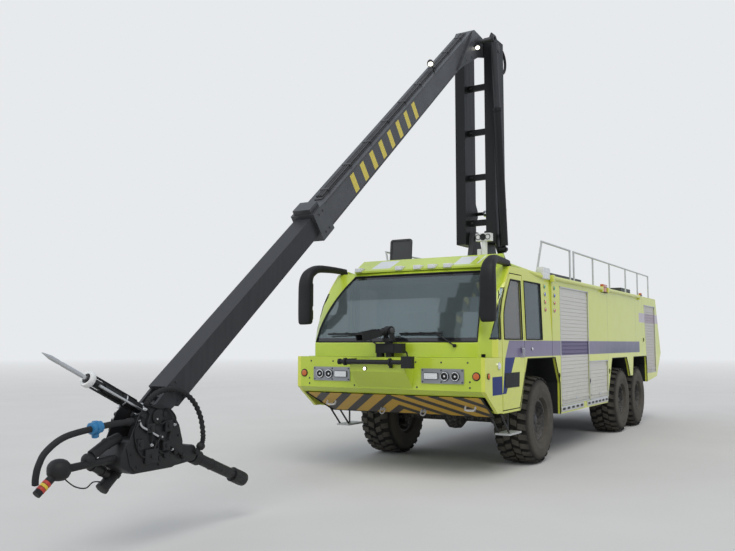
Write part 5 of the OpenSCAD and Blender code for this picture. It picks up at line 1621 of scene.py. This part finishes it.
@piece(plastic, "nozzle_head")
def head_hose_elbow(shape):
    """Ball joint where the ribbed hose meets the nozzle's side plate."""
    shape.revolve([(0.0, -0.044), (0.024, -0.038), (0.04, -0.018), (0.044, 0.0), (0.04, 0.018),
        (0.024, 0.038), (0.0, 0.044)], (0.15, -6.378, 0.88), (1, 0, 0), 24)
    shape.revolve([(0.032, 0.0), (0.032, 0.024), (0.026, 0.028)], (0.13, -6.42, 0.835), (1, 0, 0), 24)


@piece(rubber, "nozzle_head")
def head_hose_smooth(shape):
    """Sensor hose that leaves the head forwards and bends down."""
    path = smooth_path([(0.1, -7.24, 1.19), (0.112, -7.44, 1.19), (0.12, -7.67, 1.172), (0.126, -7.98, 1.128),
        (0.128, -8.16, 1.03), (0.124, -8.226, 0.925), (0.112, -8.24, 0.83), (0.1, -8.232, 0.77)], 8)
    shape.tube(path, 0.028, 16)
    shape.revolve([(0.036, 0.0), (0.036, 0.05), (0.03, 0.056)], (0.1, -7.235, 1.19), FRONT, 20)


def head_bands(parts):
    """Coloured bands round the small sensor."""
    shape = Shape()
    start, way = Vector((0.06, -8.04, 0.8)), Vector((0.0, -0.15, -0.12)).normalized()
    for at in parts:
        shape.revolve([(0.0365, at), (0.0385, at + 0.002), (0.0385, at + 0.026), (0.0365, at + 0.028)], start,
            way, 24)
    return shape


@piece(plastic, "nozzle_head")
def head_sensors(shape):
    """Arm, dome, banded sensor and short nozzle in front of the head."""
    shape.tube([(0.06, -7.3, 0.88), (0.06, -7.6, 0.865), (0.06, -7.9, 0.85)], 0.034, 18)
    shape.revolve([(0.0, -0.09), (0.045, -0.084), (0.078, -0.062), (0.096, -0.03), (0.098, 0.0),
        (0.098, 0.025), (0.088, 0.052), (0.066, 0.076), (0.036, 0.09), (0.0, 0.096)], (0.06, -7.98, 0.85), UP,
        32)
    shape.tube([(0.06, -8.04, 0.8), (0.06, -8.115, 0.74), (0.06, -8.19, 0.68)], 0.036, 18)
    # Bent arm from the tub's front down to the camera, with its elbow
    shape.tube([(0.03, -7.33, 1.05), (0.06, -7.5, 1.01), (0.05, -7.64, 0.93)], 0.048, 20)
    shape.tube([(0.04, -7.69, 0.87), (-0.02, -7.52, 0.8), (-0.08, -7.36, 0.72)], 0.042, 20)
    shape.revolve([(0.0, -0.06), (0.03, -0.054), (0.052, -0.034), (0.06, 0.0), (0.052, 0.034), (0.03, 0.054),
        (0.0, 0.06)], (0.045, -7.67, 0.895), (1, 0, 0), 24)
    shape.revolve([(0.054, 0.0), (0.054, 0.022)], (0.052, -7.47, 1.02), (0, -0.85, -0.5), 20)
    for y, z, r in ((-7.61, 0.838, 0.049), (-7.45, 0.766, 0.048)):
        shape.revolve([(r, 0.0), (r, 0.022)], ((y + 7.69) * -0.35 + 0.04, y, z), (-0.3, 0.85, -0.4), 20)
    shape.tube([(-0.09, -7.2, 0.76), (-0.09, -7.4, 0.59)], 0.055, 24)
    shape.revolve([(0.062, 0.0), (0.062, 0.026)], (-0.09, -7.245, 0.722), (0, -0.762, -0.648), 28)
    shape.revolve([(0.06, 0.0), (0.062, 0.03), (0.05, 0.034)], (-0.09, -7.378, 0.609), (0, -0.762, -0.648),
        28)
    for k in range(5):
        shape.ring((0.06, -7.36 - 0.03 * k, 0.877 - 0.0015 * k), (0, 1, 0), 0.034, 0.0035, 24, 6)
    shape.tube(smooth_path([(0.09, -7.95, 0.78), (0.1, -7.85, 0.7), (0.06, -7.7, 0.66), (-0.03, -7.55, 0.68),
        (-0.08, -7.42, 0.66)], 6), 0.006, 8)


make("sensor_bands_red", head_bands((0.06, 0.124)), red_paint, "nozzle_head")
make("sensor_band_yellow", head_bands((0.092,)), yellow_paint, "nozzle_head")


@piece(blue_paint, "nozzle_head")
def head_swivel_joint(shape):
    """Blue swivel clamp round the sensor hose, with its foot."""
    shape.revolve([(0.034, 0.0), (0.052, 0.004), (0.052, 0.04), (0.062, 0.044), (0.062, 0.066), (0.052, 0.07),
        (0.052, 0.11), (0.034, 0.114)], (0.117, -7.605, 1.18), (0.012, -1, -0.09), 28)
    for x, z in circle(6, 0.056):
        shape.bolt((0.118 + x, -7.672, 1.175 + z), FRONT, 0.006, 0.006)
    shape.tube([(0.112, -7.66, 1.13), (0.104, -7.65, 1.095)], 0.032, 16)


nozzle_turn = Matrix.Rotation(math.radians(-113.7), 4, "X")


@piece(black_steel, "main_nozzle", Matrix.Translation((0, *MONITOR_PIVOT)) @ nozzle_turn)
def main_nozzle_rings(shape):
    """Clamp rings and ribs of the main nozzle; Z runs out of its mouth."""
    shape.ring((0, 0, 0.23), UP, 0.058, 0.008, 36, 8)
    shape.ring((0, 0, 0.42), UP, 0.056, 0.005, 36, 8)
    shape.ring((0, 0, 0.8), UP, 0.073, 0.006, 36, 8)
    for x, y in circle(12, 0.073):
        shape.box((x - 0.005, y - 0.005, 0.83), (x + 0.005, y + 0.005, 0.96), 0.002)


# Floor, backdrop and light

BACKDROP = (0.8, 0.82, 0.84)
FLOOR_RADIUS = 140


def floor():
    """Pale concrete, which fades into the backdrop far away."""
    mesh = bpy.data.meshes.new("floor")
    shape = Shape()
    shape.bm.faces.new([shape.bm.verts.new((x, y, 0.0)) for x, y in circle(64, FLOOR_RADIUS)])
    shape.bm.to_mesh(mesh)
    ground = bpy.data.objects.new("floor", mesh)
    bpy.context.scene.collection.objects.link(ground)
    look = Look("floor")
    look.finish(look.mix(look.noise(0.6, 6.0), (0.52, 0.51, 0.49), (0.58, 0.57, 0.55)), 0.9, specular=0.1)
    glow = add_node(look.tree, "Emission", Color=BACKDROP)
    distance = add_node(look.tree, "VectorMath", "LENGTH", Vector=look.place).outputs["Value"]
    fade = Field(look.tree, distance).ramp(22.0, 90.0)
    mix_shaders(look.tree, fade, look.shader.outputs[0], glow.outputs[0], "Material Output")
    mesh.materials.append(look.material)


floor()

world = bpy.data.worlds.new("sky")
bpy.context.scene.world = world
world.use_nodes = True
background = world.node_tree.nodes["Background"]
background.inputs["Color"].default_value = (0.84, 0.9, 1.0, 1.0)
background.inputs["Strength"].default_value = 0.72
seen = add_node(world.node_tree, "Background", Color=BACKDROP, Strength=1.0)
camera_ray = add_node(world.node_tree, "LightPath").outputs["Is Camera Ray"]
mix_shaders(world.node_tree, camera_ray, background.outputs[0], seen.outputs[0], "World Output")


def sun(name, strength, soft_degrees, direction, colour=(1.0, 0.97, 0.92)):
    """A soft light from afar that shines along a direction."""
    data = bpy.data.lights.new(name, "SUN")
    data.energy = strength
    data.angle = math.radians(soft_degrees)
    data.color = colour
    lamp = bpy.data.objects.new(name, data)
    lamp.rotation_euler = Vector(direction).to_track_quat("-Z", "Y").to_euler()
    bpy.context.scene.collection.objects.link(lamp)


sun("key", 1.5, 40.0, (-0.45, 0.55, -0.95))
sun("fill", 0.5, 60.0, (0.6, 0.5, -0.5), (0.92, 0.96, 1.0))

bpy.context.scene.view_settings.view_transform = "Standard"
